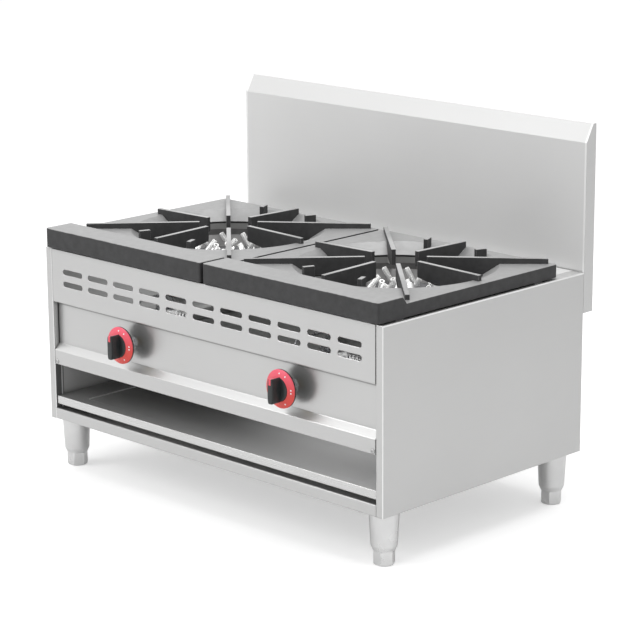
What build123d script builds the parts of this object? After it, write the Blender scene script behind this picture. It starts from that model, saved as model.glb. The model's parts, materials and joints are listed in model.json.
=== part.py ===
from build123d import *
from math import cos, hypot, radians, sin
import os

os.makedirs("parts", exist_ok=True)

# Two-burner gas wok range, all sizes in millimetres.
# X runs to the right, Y to the back and Z up from the floor.
# The origin is on the floor, under the middle of the whole range.

# Casing
sheet = 1.2
bend = 1.5
seam = 0.3
cabinet_width = 914.0
cabinet_depth = 554.0
cabinet_height = 351.0
stile_width = 16.5
stile_return = 15.0
rear_flange = 20.0
top_flange = 25.0
base_flange = 65.0
rail_height = 22.0
rail_depth = 28.0

# Front panels
vent_height = 108.0
vent_flange = 20.0
vent_columns = 11
vent_rows = 2
vent_pitch = 75.4
vent_row_pitch = 24.5
vent_drop = 55.0
slot_length = 59.0
slot_width = 11.0
panel_recess = 13.0
panel_height = 87.0
panel_overlap = 17.0
ledge_drop = 13.0
lip_height = 28.5
lip_return = 25.0

# Lower compartment and its drip tray
liner_inset = 10.4
liner_hem = 5.0
liner_setback = 16.0
shield_height = 127.2
tray_height = 16.0
tray_clearance = 9.5
tray_setback = 3.0
tray_depth = 517.0
tray_side_gap = 1.0
tray_front_rim = 26.0
tray_side_rim = 62.0
tray_sink = 2.5
runner_width = 20.0
runner_height = 20.0
runner_setback = 30.0
runner_length = 500.0

# Backsplash
splash_rise = 281.0
splash_lap = 79.0
splash_depth = 27.0
bevel_height = 34.0
bevel_run = 19.0
splash_flange = 20.0
bracket_spacing = 640.0
bracket_width = 60.0
bracket_height = 230.0
bracket_depth = 18.0
bracket_wall = 2.0
bolt_radius = 4.0
bolt_clearance = 0.3
bolt_rise = 16.0
bolt_spacing = 34.0
bolt_head_radius = 7.5
bolt_head_height = 5.0

# Cast top grates
grate_gap = 8.0
grate_margin = 7.0
grate_depth = 486.0
grate_overhang = 4.0
grate_height = 38.0
grate_wall = 8.0
grate_plate = 9.0
plate_drop = 13.5
bar_depth = 62.5
ramp_run = 10.0
corner_radius = 4.0
edge_radius = 2.0
pad_height = 2.5
pad_length = 20.0
pad_margin = 44.0
burner_setback = 281.0
opening_radius = 193.5
funnel_radius = 162.0
funnel_drop = 20.0
funnel_wall = 3.5
skirt_drop = 19.0
skirt_wall = 7.0
rib_thickness = 8.5
rib_inner_radius = 58.0
rib_rise = 0.5
rib_height = 30.0
rib_side_margin = 16.0
rib_rear_margin = 7.0
rib_fall = 0.018
rib_foot = 4.0
rib_heel = 3.0
lug_length = 22.0
lug_angle = 22.5
lug_drop = 1.5

# Burner deck and bowls
deck_drop = 15.8
centre_rail_width = 50.0
rear_deck_depth = 80.0
bowl_mouth_radius = 166.0
bowl_flange = 12.0
bowl_throat_radius = 134.0
bowl_drop = 32.0
bowl_collar = 7.0
deck_hole_clearance = 1.5
bar_width = 30.0
bar_thickness = 4.0
bar_spacing = 110.0

# Burners, with the count, radius, tilt, height and length of each ring of jets
burner_base_drop = 80.0
burner_radius = 128.0
burner_foot_radius = 80.0
burner_foot_rise = 15.0
burner_wall = 6.0
seat_half_width = 9.0
jet_rings = (
    (16, 115.0, 40.0, 36.0, 46.0),
    (10, 78.0, 32.0, 36.0, 46.0),
    (6, 42.0, 20.0, 34.0, 46.0),
)
jet_seat_gap = 0.35
jet_radius = 6.5
jet_bore_radius = 4.2
jet_bore_depth = 24.0
jet_hex_radius = 8.4
jet_hex_height = 9.0
jet_sides = 10

# Venturi, air shutter and injector
venturi_drop = 26.0
venturi_setback = 111.0
mouth_radius = 28.0
mouth_thickness = 3.0
throat_length = 36.0
throat_radius = 11.0
diffuser_length = 60.0
tube_radius = 17.0
tube_wall = 4.0
venturi_flange_radius = 30.0
venturi_flange_height = 6.0
air_hole_radius = 7.0
air_hole_circle = 17.5
air_hole_count = 4
shutter_thickness = 1.5
shutter_margin = 1.0
shutter_tab_width = 10.0
shutter_tab_reach = 8.0
nose_radius = 4.0
nose_length = 14.0
injector_pipe_radius = 5.0
injector_bend = 14.0
injector_hex_radius = 8.0
injector_hex_length = 10.0
injector_hex_gap = 3.0
orifice_radius = 1.0
orifice_depth = 8.0

# Gas valves and stems
knob_offset = 7.0
knob_drop = 47.5
valve_radius = 13.0
valve_rear = 60.0
valve_nose_radius = 8.0
valve_nose_reach = 9.0
panel_hole_clearance = 0.5
valve_port_radius = 3.0
nut_radius = 12.5
nut_thickness = 5.0
stem_radius = 4.0
stem_clearance = 0.08
stem_tip_depth = 11.0
collar_radius = 6.0
collar_thickness = 3.0
chamber_setback = 30.0
chamber_radius = 7.0
chamber_length = 24.0
plunger_radius = 5.5
plunger_length = 10.0
plunger_rod_radius = 2.5
plunger_rod_length = 6.0
outlet_radius = 7.0
outlet_height = 24.0
outlet_setback = 44.0
outlet_bore_radius = 3.5

# Knobs
knob_standoff = 25.0
knob_height = 57.0
knob_radius = 38.0
knob_rim = 3.0
knob_hub_radius = 23.0
knob_hub_height = 11.0
knob_shell = 2.5
knob_boss_radius = 8.0
grip_width = 13.0
grip_length = 47.0
grip_radius = 3.0
grip_edge = 1.0
ring_edge = 2.0
ring_height = 7.0
ring_clearance = 0.1
pointer_width = 3.5
pointer_depth = 1.2
pointer_length = 12.0

# Gas pipes
pipe_radius = 13.45
pipe_bore_radius = 10.45
manifold_setback = 80.0
manifold_left = 330.0
boss_radius = 11.0
cap_radius = 18.0
cap_length = 16.0
supply_inset = 57.0
supply_bend = 32.0
supply_stub = 12.0
fitting_radius = 18.0
fitting_length = 18.0
supply_hole_clearance = 1.5
inlet_radius = 13.2
inlet_length = 24.0

# Pilot burners
pilot_offset = 6.0
pilot_setback = 149.0
pilot_drop = 28.0
pilot_radius = 5.0
pilot_length = 30.0
pilot_hole_radius = 12.0
pilot_tube_radius = 2.5
pilot_tube_bend = 12.0
pilot_tube_drop = 73.0
pilot_port_setback = 28.0
pilot_port_radius = 4.5
pilot_port_height = 21.0
pilot_bracket_width = 16.0
pilot_bracket_drop = 60.0

# Legs and adjustable feet
leg_height = 100.0
leg_inset = 32.0
leg_front_setback = 38.0
leg_spread = 470.0
sleeve_top_radius = 28.0
sleeve_bottom_radius = 24.5
sleeve_step_radius = 20.5
sleeve_step_height = 9.0
sleeve_wall = 4.0
sleeve_boss_radius = 13.0
foot_height = 26.7
foot_radius = 20.5
foot_chamfer = 4.5
foot_screw_radius = 8.0
foot_screw_length = 44.0
foot_screw_clearance = 0.3
foot_screw_gap = 5.0
stud_radius = 6.0
stud_clearance = 0.5
stud_length = 16.0
leg_plate_width = 60.0
leg_plate_depth = 44.0
leg_plate_thickness = 4.0
leg_nut_radius = 11.0
leg_nut_height = 8.0

# Casing screws
screw_radius = 2.5
screw_head_radius = 4.5
screw_head_height = 2.4
screw_length = 8.0
screw_clearance = 0.1
screw_inset = 6.0
screw_rises = (50.0, 140.0, 230.0)

# Heights, planes and centres that the pieces share
knob_reach = knob_height - panel_recess
front = knob_reach - (knob_reach + cabinet_depth + splash_depth) / 2
rear = front + cabinet_depth
side = cabinet_width / 2
wall = side - sheet
base = leg_height
top = base + cabinet_height
stile_edge = side - stile_width
panel_half = stile_edge - seam
panel_face = front + panel_recess
vent_bottom = top - vent_height
ledge_top = vent_bottom - panel_height
lip_top = ledge_top - ledge_drop
lip_bottom = lip_top - lip_height
back_face = rear - 2 * sheet
rail_top = base + rail_height
liner_face = wall - liner_inset
shield_top = base + shield_height
tray_bottom = rail_top + tray_clearance
tray_front = front + tray_setback
runner_top = tray_bottom - seam
grate_front = front - grate_overhang
grate_rear = grate_front + grate_depth
grate_bottom = top + pad_height
grate_top = grate_bottom + grate_height
plate_top = grate_top - plate_drop
funnel_bottom = plate_top - funnel_drop
skirt_bottom = funnel_bottom - skirt_drop
deck_top = top - deck_drop
deck_front = front + stile_return + seam
rear_deck_front = back_face - rear_deck_depth
grate_width = (cabinet_width - grate_gap) / 2 - grate_margin
burner_x = (grate_gap + grate_width) / 2
burner_y = front + burner_setback
rib_side_reach = grate_width / 2 - rib_side_margin
rib_rear_reach = grate_rear - burner_y - rib_rear_margin
burner_base = top - burner_base_drop
knob_x = burner_x - knob_offset
knob_z = vent_bottom - knob_drop
venturi_z = burner_base - venturi_drop
venturi_mouth = front + venturi_setback
shutter_front = venturi_mouth - seam - shutter_thickness
valve_back = front + valve_rear
chamber_front = front + chamber_setback
collar_back = chamber_front + seam + collar_thickness
outlet_y = front + outlet_setback
outlet_top = knob_z + outlet_height
pilot_x = knob_x - pilot_offset
pilot_y = burner_y - pilot_setback
pilot_top = top - pilot_drop
pilot_port_y = front + pilot_port_setback
manifold_y = front + manifold_setback
supply_x = side - supply_inset
joint_x = supply_x - supply_bend - supply_stub
knob_back = panel_face - knob_standoff
rim_front = knob_back - knob_rim
hub_front = knob_back - knob_hub_height
knob_front = panel_face - knob_height
leg_x = side - leg_inset
leg_ys = (front + leg_front_setback, front + leg_front_setback + leg_spread)
leg_plate_top = base + sheet + leg_plate_thickness
splash_bottom = top - splash_lap
splash_top = top + splash_rise
bolt_places = [
    (hand * bracket_spacing / 2, splash_bottom + bolt_rise + rise)
    for hand in (-1, 1)
    for rise in (0, bolt_spacing)
]
screw_places = [(hand * (side - screw_inset), base + rise) for hand in (-1, 1) for rise in screw_rises]
lip_screw_places = [
    (hand * (panel_half - screw_inset - sheet), lip_bottom + screw_inset) for hand in (-1, 1)
]
hands = (("left", -1), ("right", 1))
corners = [
    (f"{depth}_{name}", hand * leg_x, y)
    for depth, y in zip(("front", "rear"), leg_ys)
    for name, hand in hands
]


def facing_front(y):
    """Plane at y whose x is X, whose y is Z and whose normal points to the front."""
    return Plane.XZ.offset(-y)


def facing_side(x):
    """Plane at x whose x is Y, whose y is Z and whose normal points to the right."""
    return Plane.YZ.offset(x)


def radial(x, y, angle=0):
    """Upright plane through x, y whose x runs outwards at the angle and whose y is Z."""
    outwards = Vector(cos(radians(angle)), sin(radians(angle)), 0)
    return Plane(origin=(x, y, 0), x_dir=outwards, z_dir=outwards.cross(Vector(0, 0, 1)))


def upright(x, y):
    """Vertical axis through x, y."""
    return Axis((x, y, 0), (0, 0, 1))


def fore_aft(x, z):
    """Axis through x, z that runs to the back."""
    return Axis((x, 0, z), (0, 1, 0))


def outline(plane, points):
    """Face with straight sides through the points."""
    with BuildSketch(plane) as face:
        with BuildLine():
            Polyline(*points, close=True)
        make_face()
    return face.sketch


def folded(plane, points, hand=1):
    """Section of a sheet bent along the points, thickened to the left, or to the right for hand -1."""
    with BuildSketch(plane) as face:
        with BuildLine():
            FilletPolyline(*points, radius=bend)
            offset(amount=sheet, side=Side.LEFT if hand > 0 else Side.RIGHT)
        make_face()
    return face.sketch


def span(low, high, bottom, ceiling):
    """Rectangle from low to high along the sketch's x and from bottom to ceiling along its y."""
    with Locations(((low + high) / 2, (bottom + ceiling) / 2)):
        Rectangle(high - low, ceiling - bottom)


# Side panels: one sheet folded into a wall, a front stile and a rear flange,
# with a shelf flange at the top and a base flange that two legs are bolted to
for name, hand in hands:
    with BuildPart() as side_panel:
        extrude(
            folded(
                Plane.XY.offset(base),
                [
                    (hand * stile_edge, front + stile_return),
                    (hand * stile_edge, front),
                    (hand * side, front),
                    (hand * side, rear),
                    (hand * (side - rear_flange), rear),
                ],
                hand,
            ),
            amount=cabinet_height,
        )
        with BuildSketch(Plane.XY.offset(top - sheet)):
            ends = sorted((hand * (stile_edge + sheet), hand * wall))
            span(*ends, front + sheet, front + vent_flange + seam)
            ends = sorted((hand * (wall - top_flange), hand * wall))
            span(*ends, front + vent_flange + seam, back_face)
        extrude(amount=sheet)
        with BuildSketch(Plane.XY.offset(base)):
            ends = sorted((hand * (wall - base_flange), hand * wall))
            span(*ends, front + sheet, rear - sheet)
            with Locations(*[(hand * leg_x, y) for y in leg_ys]):
                Circle(stud_radius + stud_clearance, mode=Mode.SUBTRACT)
        extrude(amount=sheet)
        with BuildSketch(facing_front(rear)):
            with Locations(*screw_places):
                Circle(screw_radius + screw_clearance)
        extrude(amount=sheet, mode=Mode.SUBTRACT)
    side_panel.part.label = f"side_panel_{name}"
    export_step(side_panel.part, f"parts/side_panel_{name}.step")

# Vent panel: the upper front, flush between the stiles, with two rows of rounded slots
with BuildPart() as vent_panel:
    extrude(
        folded(
            facing_side(-panel_half),
            [
                (panel_face, vent_bottom),
                (front, vent_bottom),
                (front, top),
                (front + vent_flange, top),
            ],
            -1,
        ),
        amount=2 * panel_half,
    )
    with BuildSketch(facing_side(panel_half), facing_side(sheet - panel_half)):
        span(front + sheet / 2, panel_face - seam, vent_bottom + bend, top - bend)
    extrude(amount=-sheet)
    with BuildSketch(facing_front(front)):
        with Locations((0, top - vent_drop)):
            with GridLocations(vent_pitch, vent_row_pitch, vent_columns, vent_rows):
                SlotOverall(slot_length, slot_width)
    extrude(amount=-sheet, mode=Mode.SUBTRACT)
vent_panel.part.label = "vent_panel"
export_step(vent_panel.part, "parts/vent_panel.step")

# Control panel: hung behind the vent panel, with a ledge that slopes out to a lip
with BuildPart() as control_panel:
    extrude(
        folded(
            facing_side(-panel_half),
            [
                (panel_face, vent_bottom + panel_overlap),
                (panel_face, ledge_top),
                (front, lip_top),
                (front, lip_bottom),
                (front + lip_return, lip_bottom),
            ],
        ),
        amount=2 * panel_half,
    )
    with BuildSketch(facing_front(panel_face)):
        with Locations((-knob_x, knob_z), (knob_x, knob_z)):
            Circle(valve_nose_radius + panel_hole_clearance)
    extrude(amount=-sheet, mode=Mode.SUBTRACT)
    with BuildSketch(facing_front(front)):
        with Locations(*lip_screw_places):
            Circle(screw_radius + screw_clearance)
    extrude(amount=-sheet, mode=Mode.SUBTRACT)
control_panel.part.label = "control_panel"
export_step(control_panel.part, "parts/control_panel.step")

# Base rails: channels that tie the side panels together under the compartment
with BuildPart() as base_rail_front:
    extrude(
        folded(
            facing_side(-panel_half),
            [
                (front + rail_depth, rail_top),
                (front, rail_top),
                (front, base),
                (front + rail_depth, base),
            ],
        ),
        amount=2 * panel_half,
    )
    with BuildSketch(Plane.XY.offset(base)):
        for hand in (-1, 1):
            ends = sorted((hand * (wall - base_flange - seam), hand * side))
            span(*ends, front + sheet, front + rail_depth)
    extrude(amount=2 * sheet, mode=Mode.SUBTRACT)
base_rail_front.part.label = "base_rail_front"
export_step(base_rail_front.part, "parts/base_rail_front.step")

rear_rail_half = wall - base_flange - seam
with BuildPart() as base_rail_rear:
    extrude(
        folded(
            facing_side(-rear_rail_half),
            [
                (back_face - rail_depth, rail_top),
                (back_face, rail_top),
                (back_face, base),
                (back_face - rail_depth, base),
            ],
            -1,
        ),
        amount=2 * rear_rail_half,
    )
base_rail_rear.part.label = "base_rail_rear"
export_step(base_rail_rear.part, "parts/base_rail_rear.step")

# Back panel, with holes for the gas pipe, the casing screws and the backsplash bolts
with BuildPart() as back_panel:
    with BuildSketch(facing_front(rear - sheet)):
        span(seam - wall, wall - seam, base + sheet, top)
        with Locations((supply_x, knob_z)):
            Circle(pipe_radius + supply_hole_clearance, mode=Mode.SUBTRACT)
        with Locations(*screw_places):
            Circle(screw_radius + screw_clearance, mode=Mode.SUBTRACT)
        with Locations(*bolt_places):
            Circle(bolt_radius + bolt_clearance, mode=Mode.SUBTRACT)
    extrude(amount=sheet)
back_panel.part.label = "back_panel"
export_step(back_panel.part, "parts/back_panel.step")

# Burner deck: a pan with turned-up edges and a round hole under each burner opening
with BuildPart() as burner_deck:
    with BuildSketch(Plane.XY.offset(deck_top - sheet)):
        span(-wall, wall, deck_front, back_face)
    extrude(amount=deck_drop)
    with BuildSketch(Plane.XY.offset(deck_top)):
        span(sheet - wall, wall - sheet, deck_front + sheet, back_face)
    extrude(amount=deck_drop, mode=Mode.SUBTRACT)
    with BuildSketch(Plane.XY.offset(deck_top)):
        with Locations((-burner_x, burner_y), (burner_x, burner_y)):
            Circle(bowl_mouth_radius + deck_hole_clearance)
    extrude(amount=-sheet, mode=Mode.SUBTRACT)
burner_deck.part.label = "burner_deck"
export_step(burner_deck.part, "parts/burner_deck.step")

# Rear deck: the flat strip between the grates and the backsplash
rear_deck_half = wall - top_flange - seam
with BuildPart() as rear_deck:
    extrude(
        folded(
            facing_side(-rear_deck_half),
            [(back_face, top), (rear_deck_front, top), (rear_deck_front, deck_top)],
        ),
        amount=2 * rear_deck_half,
    )
rear_deck.part.label = "rear_deck"
export_step(rear_deck.part, "parts/rear_deck.step")

# Centre rail that carries the inner edges of both grates
with BuildPart() as grate_rail:
    extrude(
        folded(
            facing_front(rear_deck_front - seam),
            [
                (-centre_rail_width / 2, deck_top),
                (-centre_rail_width / 2, top),
                (centre_rail_width / 2, top),
                (centre_rail_width / 2, deck_top),
            ],
            -1,
        ),
        amount=rear_deck_front - front - vent_flange - 2 * seam,
    )
grate_rail.part.label = "grate_rail"
export_step(grate_rail.part, "parts/grate_rail.step")

# Backsplash: a hollow upstand with a bevel under its top edge and closed ends
end_wall = [
    (rear + splash_depth, splash_bottom),
    (rear, splash_bottom),
    (rear, splash_top - bevel_height),
    (rear + bevel_run, splash_top),
    (rear + splash_depth, splash_top),
]
with BuildPart() as backsplash:
    extrude(
        folded(
            facing_side(-wall),
            [*end_wall, (rear + splash_depth, splash_top - splash_flange)],
            -1,
        ),
        amount=2 * wall,
    )
    extrude(outline(facing_side(wall), end_wall), amount=sheet)
    extrude(outline(facing_side(-wall), end_wall), amount=-sheet)
    with BuildSketch(facing_front(rear)):
        with Locations(*bolt_places):
            Circle(bolt_radius + bolt_clearance)
    extrude(amount=-sheet, mode=Mode.SUBTRACT)
backsplash.part.label = "backsplash"
export_step(backsplash.part, "parts/backsplash.step")

# Rear cover that closes the backsplash
with BuildPart() as backsplash_cover:
    with BuildSketch(facing_front(rear + splash_depth - sheet)):
        span(-wall, wall, splash_bottom + sheet, splash_top - 2 * sheet)
    extrude(amount=sheet)
backsplash_cover.part.label = "backsplash_cover"
export_step(backsplash_cover.part, "parts/backsplash_cover.step")

# Two channels inside the backsplash that its bolts clamp to the back panel
bracket_front = rear + sheet
bracket_base = splash_bottom + sheet + seam
with BuildPart() as backsplash_brackets:
    with BuildSketch(Plane.XY.offset(bracket_base)):
        for hand in (-1, 1):
            centre = hand * bracket_spacing / 2
            half = bracket_width / 2
            span(centre - half, centre + half, bracket_front, bracket_front + bracket_depth)
    extrude(amount=bracket_height)
    with BuildSketch(Plane.XY.offset(bracket_base)):
        for hand in (-1, 1):
            centre = hand * bracket_spacing / 2
            half = bracket_width / 2 - bracket_wall
            floor = bracket_front + bracket_wall
            span(centre - half, centre + half, floor, bracket_front + bracket_depth)
    extrude(amount=bracket_height, mode=Mode.SUBTRACT)
    with BuildSketch(facing_front(bracket_front)):
        with Locations(*bolt_places):
            Circle(bolt_radius + bolt_clearance)
    extrude(amount=-bracket_wall, mode=Mode.SUBTRACT)
backsplash_brackets.part.label = "backsplash_brackets"
export_step(backsplash_brackets.part, "parts/backsplash_brackets.step")

# Bolts through the back panel, the backsplash and its channels, with their nuts
clamp_back = bracket_front + bracket_wall
with BuildPart() as backsplash_bolts:
    with BuildSketch(facing_front(back_face)):
        with Locations(*bolt_places):
            RegularPolygon(bolt_head_radius, 6)
    extrude(amount=bolt_head_height)
    with BuildSketch(facing_front(back_face)):
        with Locations(*bolt_places):
            Circle(bolt_radius)
    extrude(amount=back_face - clamp_back - 2 * bolt_head_height)
    with BuildSketch(facing_front(clamp_back)):
        with Locations(*bolt_places):
            RegularPolygon(bolt_head_radius, 6)
            Circle(bolt_radius + stem_clearance, mode=Mode.SUBTRACT)
    extrude(amount=-bolt_head_height)
backsplash_bolts.part.label = "backsplash_bolts"
export_step(backsplash_bolts.part, "parts/backsplash_bolts.step")

# Liners: the side walls of the lower compartment
for name, hand in hands:
    with BuildPart() as liner:
        extrude(
            folded(
                Plane.XY.offset(leg_plate_top),
                [
                    (hand * (liner_face + liner_hem), front + liner_setback),
                    (hand * liner_face, front + liner_setback),
                    (hand * liner_face, back_face),
                ],
                -hand,
            ),
            amount=shield_top - sheet - leg_plate_top,
        )
    liner.part.label = f"liner_{name}"
    export_step(liner.part, f"parts/liner_{name}.step")

# Heat shield: the ceiling of the lower compartment, laid on the liners
with BuildPart() as heat_shield:
    extrude(
        folded(
            facing_side(-liner_face),
            [
                (front + lip_return, lip_bottom),
                (front + lip_return, shield_top),
                (back_face, shield_top),
            ],
            -1,
        ),
        amount=2 * liner_face,
    )
    with BuildSketch(Plane.XY.offset(shield_top)):
        half = liner_face + liner_hem
        span(-half, half, front + lip_return + bend, back_face)
    extrude(amount=-sheet)
heat_shield.part.label = "heat_shield"
export_step(heat_shield.part, "parts/heat_shield.step")

# Tray runners: two angles on the liners
with BuildPart() as tray_runners:
    for hand in (-1, 1):
        extrude(
            folded(
                facing_front(front + runner_setback + runner_length),
                [
                    (hand * liner_face, runner_top - runner_height),
                    (hand * liner_face, runner_top),
                    (hand * (liner_face - runner_width), runner_top),
                ],
                hand,
            ),
            amount=runner_length,
        )
tray_runners.part.label = "tray_runners"
export_step(tray_runners.part, "parts/tray_runners.step")

# Drip tray: a sheet with turned-down edges and a sunken middle, pulled out to the front
tray_half = stile_edge - tray_side_gap
tray_rear = tray_front + tray_depth
tray_top = tray_bottom + tray_height
sink_half = tray_half - tray_side_rim
sink_front = tray_front + tray_front_rim
sink_rear = tray_rear - tray_front_rim
with BuildPart() as drip_tray:
    with BuildSketch(Plane.XY.offset(tray_bottom)):
        span(-tray_half, tray_half, tray_front, tray_rear)
    extrude(amount=tray_height)
    with BuildSketch(Plane.XY.offset(tray_bottom)):
        span(sheet - tray_half, tray_half - sheet, tray_front + sheet, tray_rear - sheet)
    extrude(amount=tray_height - sheet, mode=Mode.SUBTRACT)
    with BuildSketch(Plane.XY.offset(tray_top - tray_sink - sheet)):
        span(-sink_half - sheet, sink_half + sheet, sink_front - sheet, sink_rear + sheet)
    extrude(amount=tray_sink + sheet)
    with BuildSketch(Plane.XY.offset(tray_top)):
        span(-sink_half, sink_half, sink_front, sink_rear)
    extrude(amount=-tray_sink, mode=Mode.SUBTRACT)
drip_tray.part.label = "drip_tray"
export_step(drip_tray.part, "parts/drip_tray.step")

# Top grates: one casting for each burner, with a raised front bar, a funnel that
# guards the flame, eight ribs that point at the middle of the jets and four lugs
bar_back = grate_front + bar_depth
bar_inside = bar_back - grate_wall / 2
skirt_middle = funnel_radius + skirt_wall / 2
foot_fall = rib_foot * (1 + funnel_drop / (opening_radius - funnel_radius))
rib_top = grate_top + rib_rise
for name, hand in hands:
    centre = hand * burner_x
    with BuildPart() as grate:
        extrude(
            outline(
                facing_side(centre - grate_width / 2),
                [
                    (grate_front, grate_bottom),
                    (grate_front, grate_top),
                    (bar_back, grate_top),
                    (bar_back + ramp_run, plate_top),
                    (grate_rear, plate_top),
                    (grate_rear, grate_bottom),
                ],
            ),
            amount=grate_width,
        )
        fillet(grate.edges().filter_by(Axis.Z), corner_radius)
        fillet(grate.faces().sort_by(Axis.Z)[-1].edges().sort_by(Axis.Y)[0], edge_radius)
        extrude(
            outline(
                facing_side(centre - grate_width / 2 + grate_wall),
                [
                    (grate_front + grate_wall, grate_bottom),
                    (grate_front + grate_wall, grate_top - grate_plate),
                    (bar_inside, grate_top - grate_plate),
                    (bar_inside + ramp_run, plate_top - grate_plate),
                    (grate_rear - grate_wall, plate_top - grate_plate),
                    (grate_rear - grate_wall, grate_bottom),
                ],
            ),
            amount=grate_width - 2 * grate_wall,
            mode=Mode.SUBTRACT,
        )
        revolve(
            outline(
                radial(centre, burner_y),
                [
                    (0, skirt_bottom),
                    (funnel_radius + skirt_wall, skirt_bottom),
                    (funnel_radius + skirt_wall, funnel_bottom - funnel_wall),
                    (opening_radius + funnel_wall, plate_top - grate_plate),
                    (0, plate_top - grate_plate),
                ],
            ),
            axis=upright(centre, burner_y),
        )
        revolve(
            outline(
                radial(centre, burner_y),
                [
                    (0, skirt_bottom),
                    (funnel_radius, skirt_bottom),
                    (funnel_radius, funnel_bottom),
                    (opening_radius, plate_top),
                    (0, plate_top),
                ],
            ),
            axis=upright(centre, burner_y),
            mode=Mode.SUBTRACT,
        )
        for across, along in ((1, 0), (1, 1), (0, 1), (-1, 1), (-1, 0), (-1, -1), (0, -1), (1, -1)):
            outwards = Vector(across * rib_side_reach, along * rib_rear_reach, 0)
            plane = Plane(
                origin=(centre, burner_y, 0),
                x_dir=outwards,
                z_dir=outwards.cross(Vector(0, 0, 1)),
            )
            reach = hypot(across * rib_side_reach, along * rib_rear_reach)
            extrude(
                outline(
                    plane.offset(-rib_thickness / 2),
                    [
                        (rib_inner_radius, rib_top),
                        (rib_inner_radius, rib_top - rib_height),
                        (skirt_middle, skirt_bottom + rib_heel),
                        (skirt_middle, funnel_bottom - funnel_wall / 2),
                        (opening_radius - rib_foot, plate_top - foot_fall),
                        (reach, plate_top - rib_foot),
                        (reach, rib_top - rib_fall * (reach - rib_inner_radius)),
                    ],
                ),
                amount=rib_thickness,
            )
        for turn in (90 - lug_angle, 90 + lug_angle, 270 - lug_angle, 270 + lug_angle):
            extrude(
                outline(
                    radial(centre, burner_y, turn).offset(-rib_thickness / 2),
                    [
                        (skirt_middle, grate_top - lug_drop),
                        (skirt_middle, funnel_bottom - funnel_wall / 2),
                        (skirt_middle + lug_length, plate_top - foot_fall),
                        (skirt_middle + lug_length, grate_top - lug_drop),
                    ],
                ),
                amount=rib_thickness,
            )
        with BuildSketch(Plane.XY.offset(top)):
            for edge in (grate_width / 2 - grate_wall, -grate_width / 2):
                for start in (grate_front + pad_margin, grate_rear - pad_margin - pad_length):
                    span(centre + edge, centre + edge + grate_wall, start, start + pad_length)
        extrude(amount=pad_height)
    grate.part.label = f"grate_{name}"
    export_step(grate.part, f"parts/grate_{name}.step")

# Burner bowls: spun cones hung in the deck's holes
flange_top = deck_top + sheet
for name, hand in hands:
    centre = hand * burner_x
    with BuildPart() as burner_bowl:
        revolve(
            folded(
                radial(centre, burner_y),
                [
                    (bowl_mouth_radius + bowl_flange, flange_top),
                    (bowl_mouth_radius, flange_top),
                    (bowl_throat_radius, flange_top - bowl_drop),
                    (bowl_throat_radius, flange_top - bowl_drop - bowl_collar),
                ],
            ),
            axis=upright(centre, burner_y),
        )
        with BuildSketch(Plane.XY.offset(flange_top)):
            with Locations((hand * pilot_x, pilot_y)):
                Circle(pilot_hole_radius)
        extrude(amount=-bowl_drop, mode=Mode.SUBTRACT)
    burner_bowl.part.label = f"burner_bowl_{name}"
    export_step(burner_bowl.part, f"parts/burner_bowl_{name}.step")

# Burner bodies: a hollow casting with a stepped crown, each step square to its ring of jets
crown = []
for count, radius, tilt, height, length in jet_rings:
    run = seat_half_width * cos(radians(tilt))
    rise = seat_half_width * sin(radians(tilt))
    if crown:
        crown.append((radius + run, crown[-1][1]))
    crown.append((radius + run, burner_base + height + rise))
    crown.append((radius - run, burner_base + height - rise))
ceiling = min(height for radius, height in crown) - burner_wall
for name, hand in hands:
    centre = hand * burner_x
    with BuildPart() as burner_body:
        revolve(
            outline(
                radial(centre, burner_y),
                [
                    (0, burner_base),
                    (burner_foot_radius, burner_base),
                    (burner_radius, burner_base + burner_foot_rise),
                    (burner_radius, crown[0][1]),
                    *crown,
                    (0, crown[-1][1]),
                ],
            ),
            axis=upright(centre, burner_y),
        )
        revolve(
            outline(
                radial(centre, burner_y),
                [
                    (0, burner_base),
                    (tube_radius - tube_wall, burner_base),
                    (tube_radius - tube_wall, burner_base + burner_wall),
                    (burner_foot_radius, burner_base + burner_wall),
                    (burner_radius - burner_wall, burner_base + burner_foot_rise + burner_wall),
                    (burner_radius - burner_wall, ceiling),
                    (0, ceiling),
                ],
            ),
            axis=upright(centre, burner_y),
            mode=Mode.SUBTRACT,
        )
    burner_body.part.label = f"burner_body_{name}"
    export_step(burner_body.part, f"parts/burner_body_{name}.step")

# Burner jets: brass tips that all lean in to the middle of the flame
for name, hand in hands:
    with BuildPart() as burner_jets:
        for count, radius, tilt, height, length in jet_rings:
            seats = []
            for index in range(count):
                turn = radians(360 / count * index)
                lean = radians(tilt)
                inwards = Vector(-cos(turn), -sin(turn), 0)
                axis = inwards * sin(lean) + Vector(0, 0, cos(lean))
                foot = Vector(hand * burner_x, burner_y, burner_base + height) - inwards * radius
                seats.append(
                    Plane(
                        origin=foot + axis * jet_seat_gap,
                        x_dir=inwards.cross(Vector(0, 0, 1)),
                        z_dir=axis,
                    )
                )
            with BuildSketch(*seats):
                RegularPolygon(jet_hex_radius, 6)
            extrude(amount=jet_hex_height)
            with BuildSketch(*seats):
                RegularPolygon(jet_radius, jet_sides)
            extrude(amount=length)
            with BuildSketch(*[seat.offset(length) for seat in seats]):
                RegularPolygon(jet_bore_radius, jet_sides)
            extrude(amount=-jet_bore_depth, mode=Mode.SUBTRACT)
    burner_jets.part.label = f"burner_jets_{name}"
    export_step(burner_jets.part, f"parts/burner_jets_{name}.step")

# Burner bars: two flats across the casing that the burners stand on
with BuildPart() as burner_bars:
    with BuildSketch(Plane.XY.offset(burner_base)):
        with Locations((0, burner_y - bar_spacing / 2), (0, burner_y + bar_spacing / 2)):
            Rectangle(2 * wall, bar_width)
    extrude(amount=-bar_thickness)
burner_bars.part.label = "burner_bars"
export_step(burner_bars.part, "parts/burner_bars.step")

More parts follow.
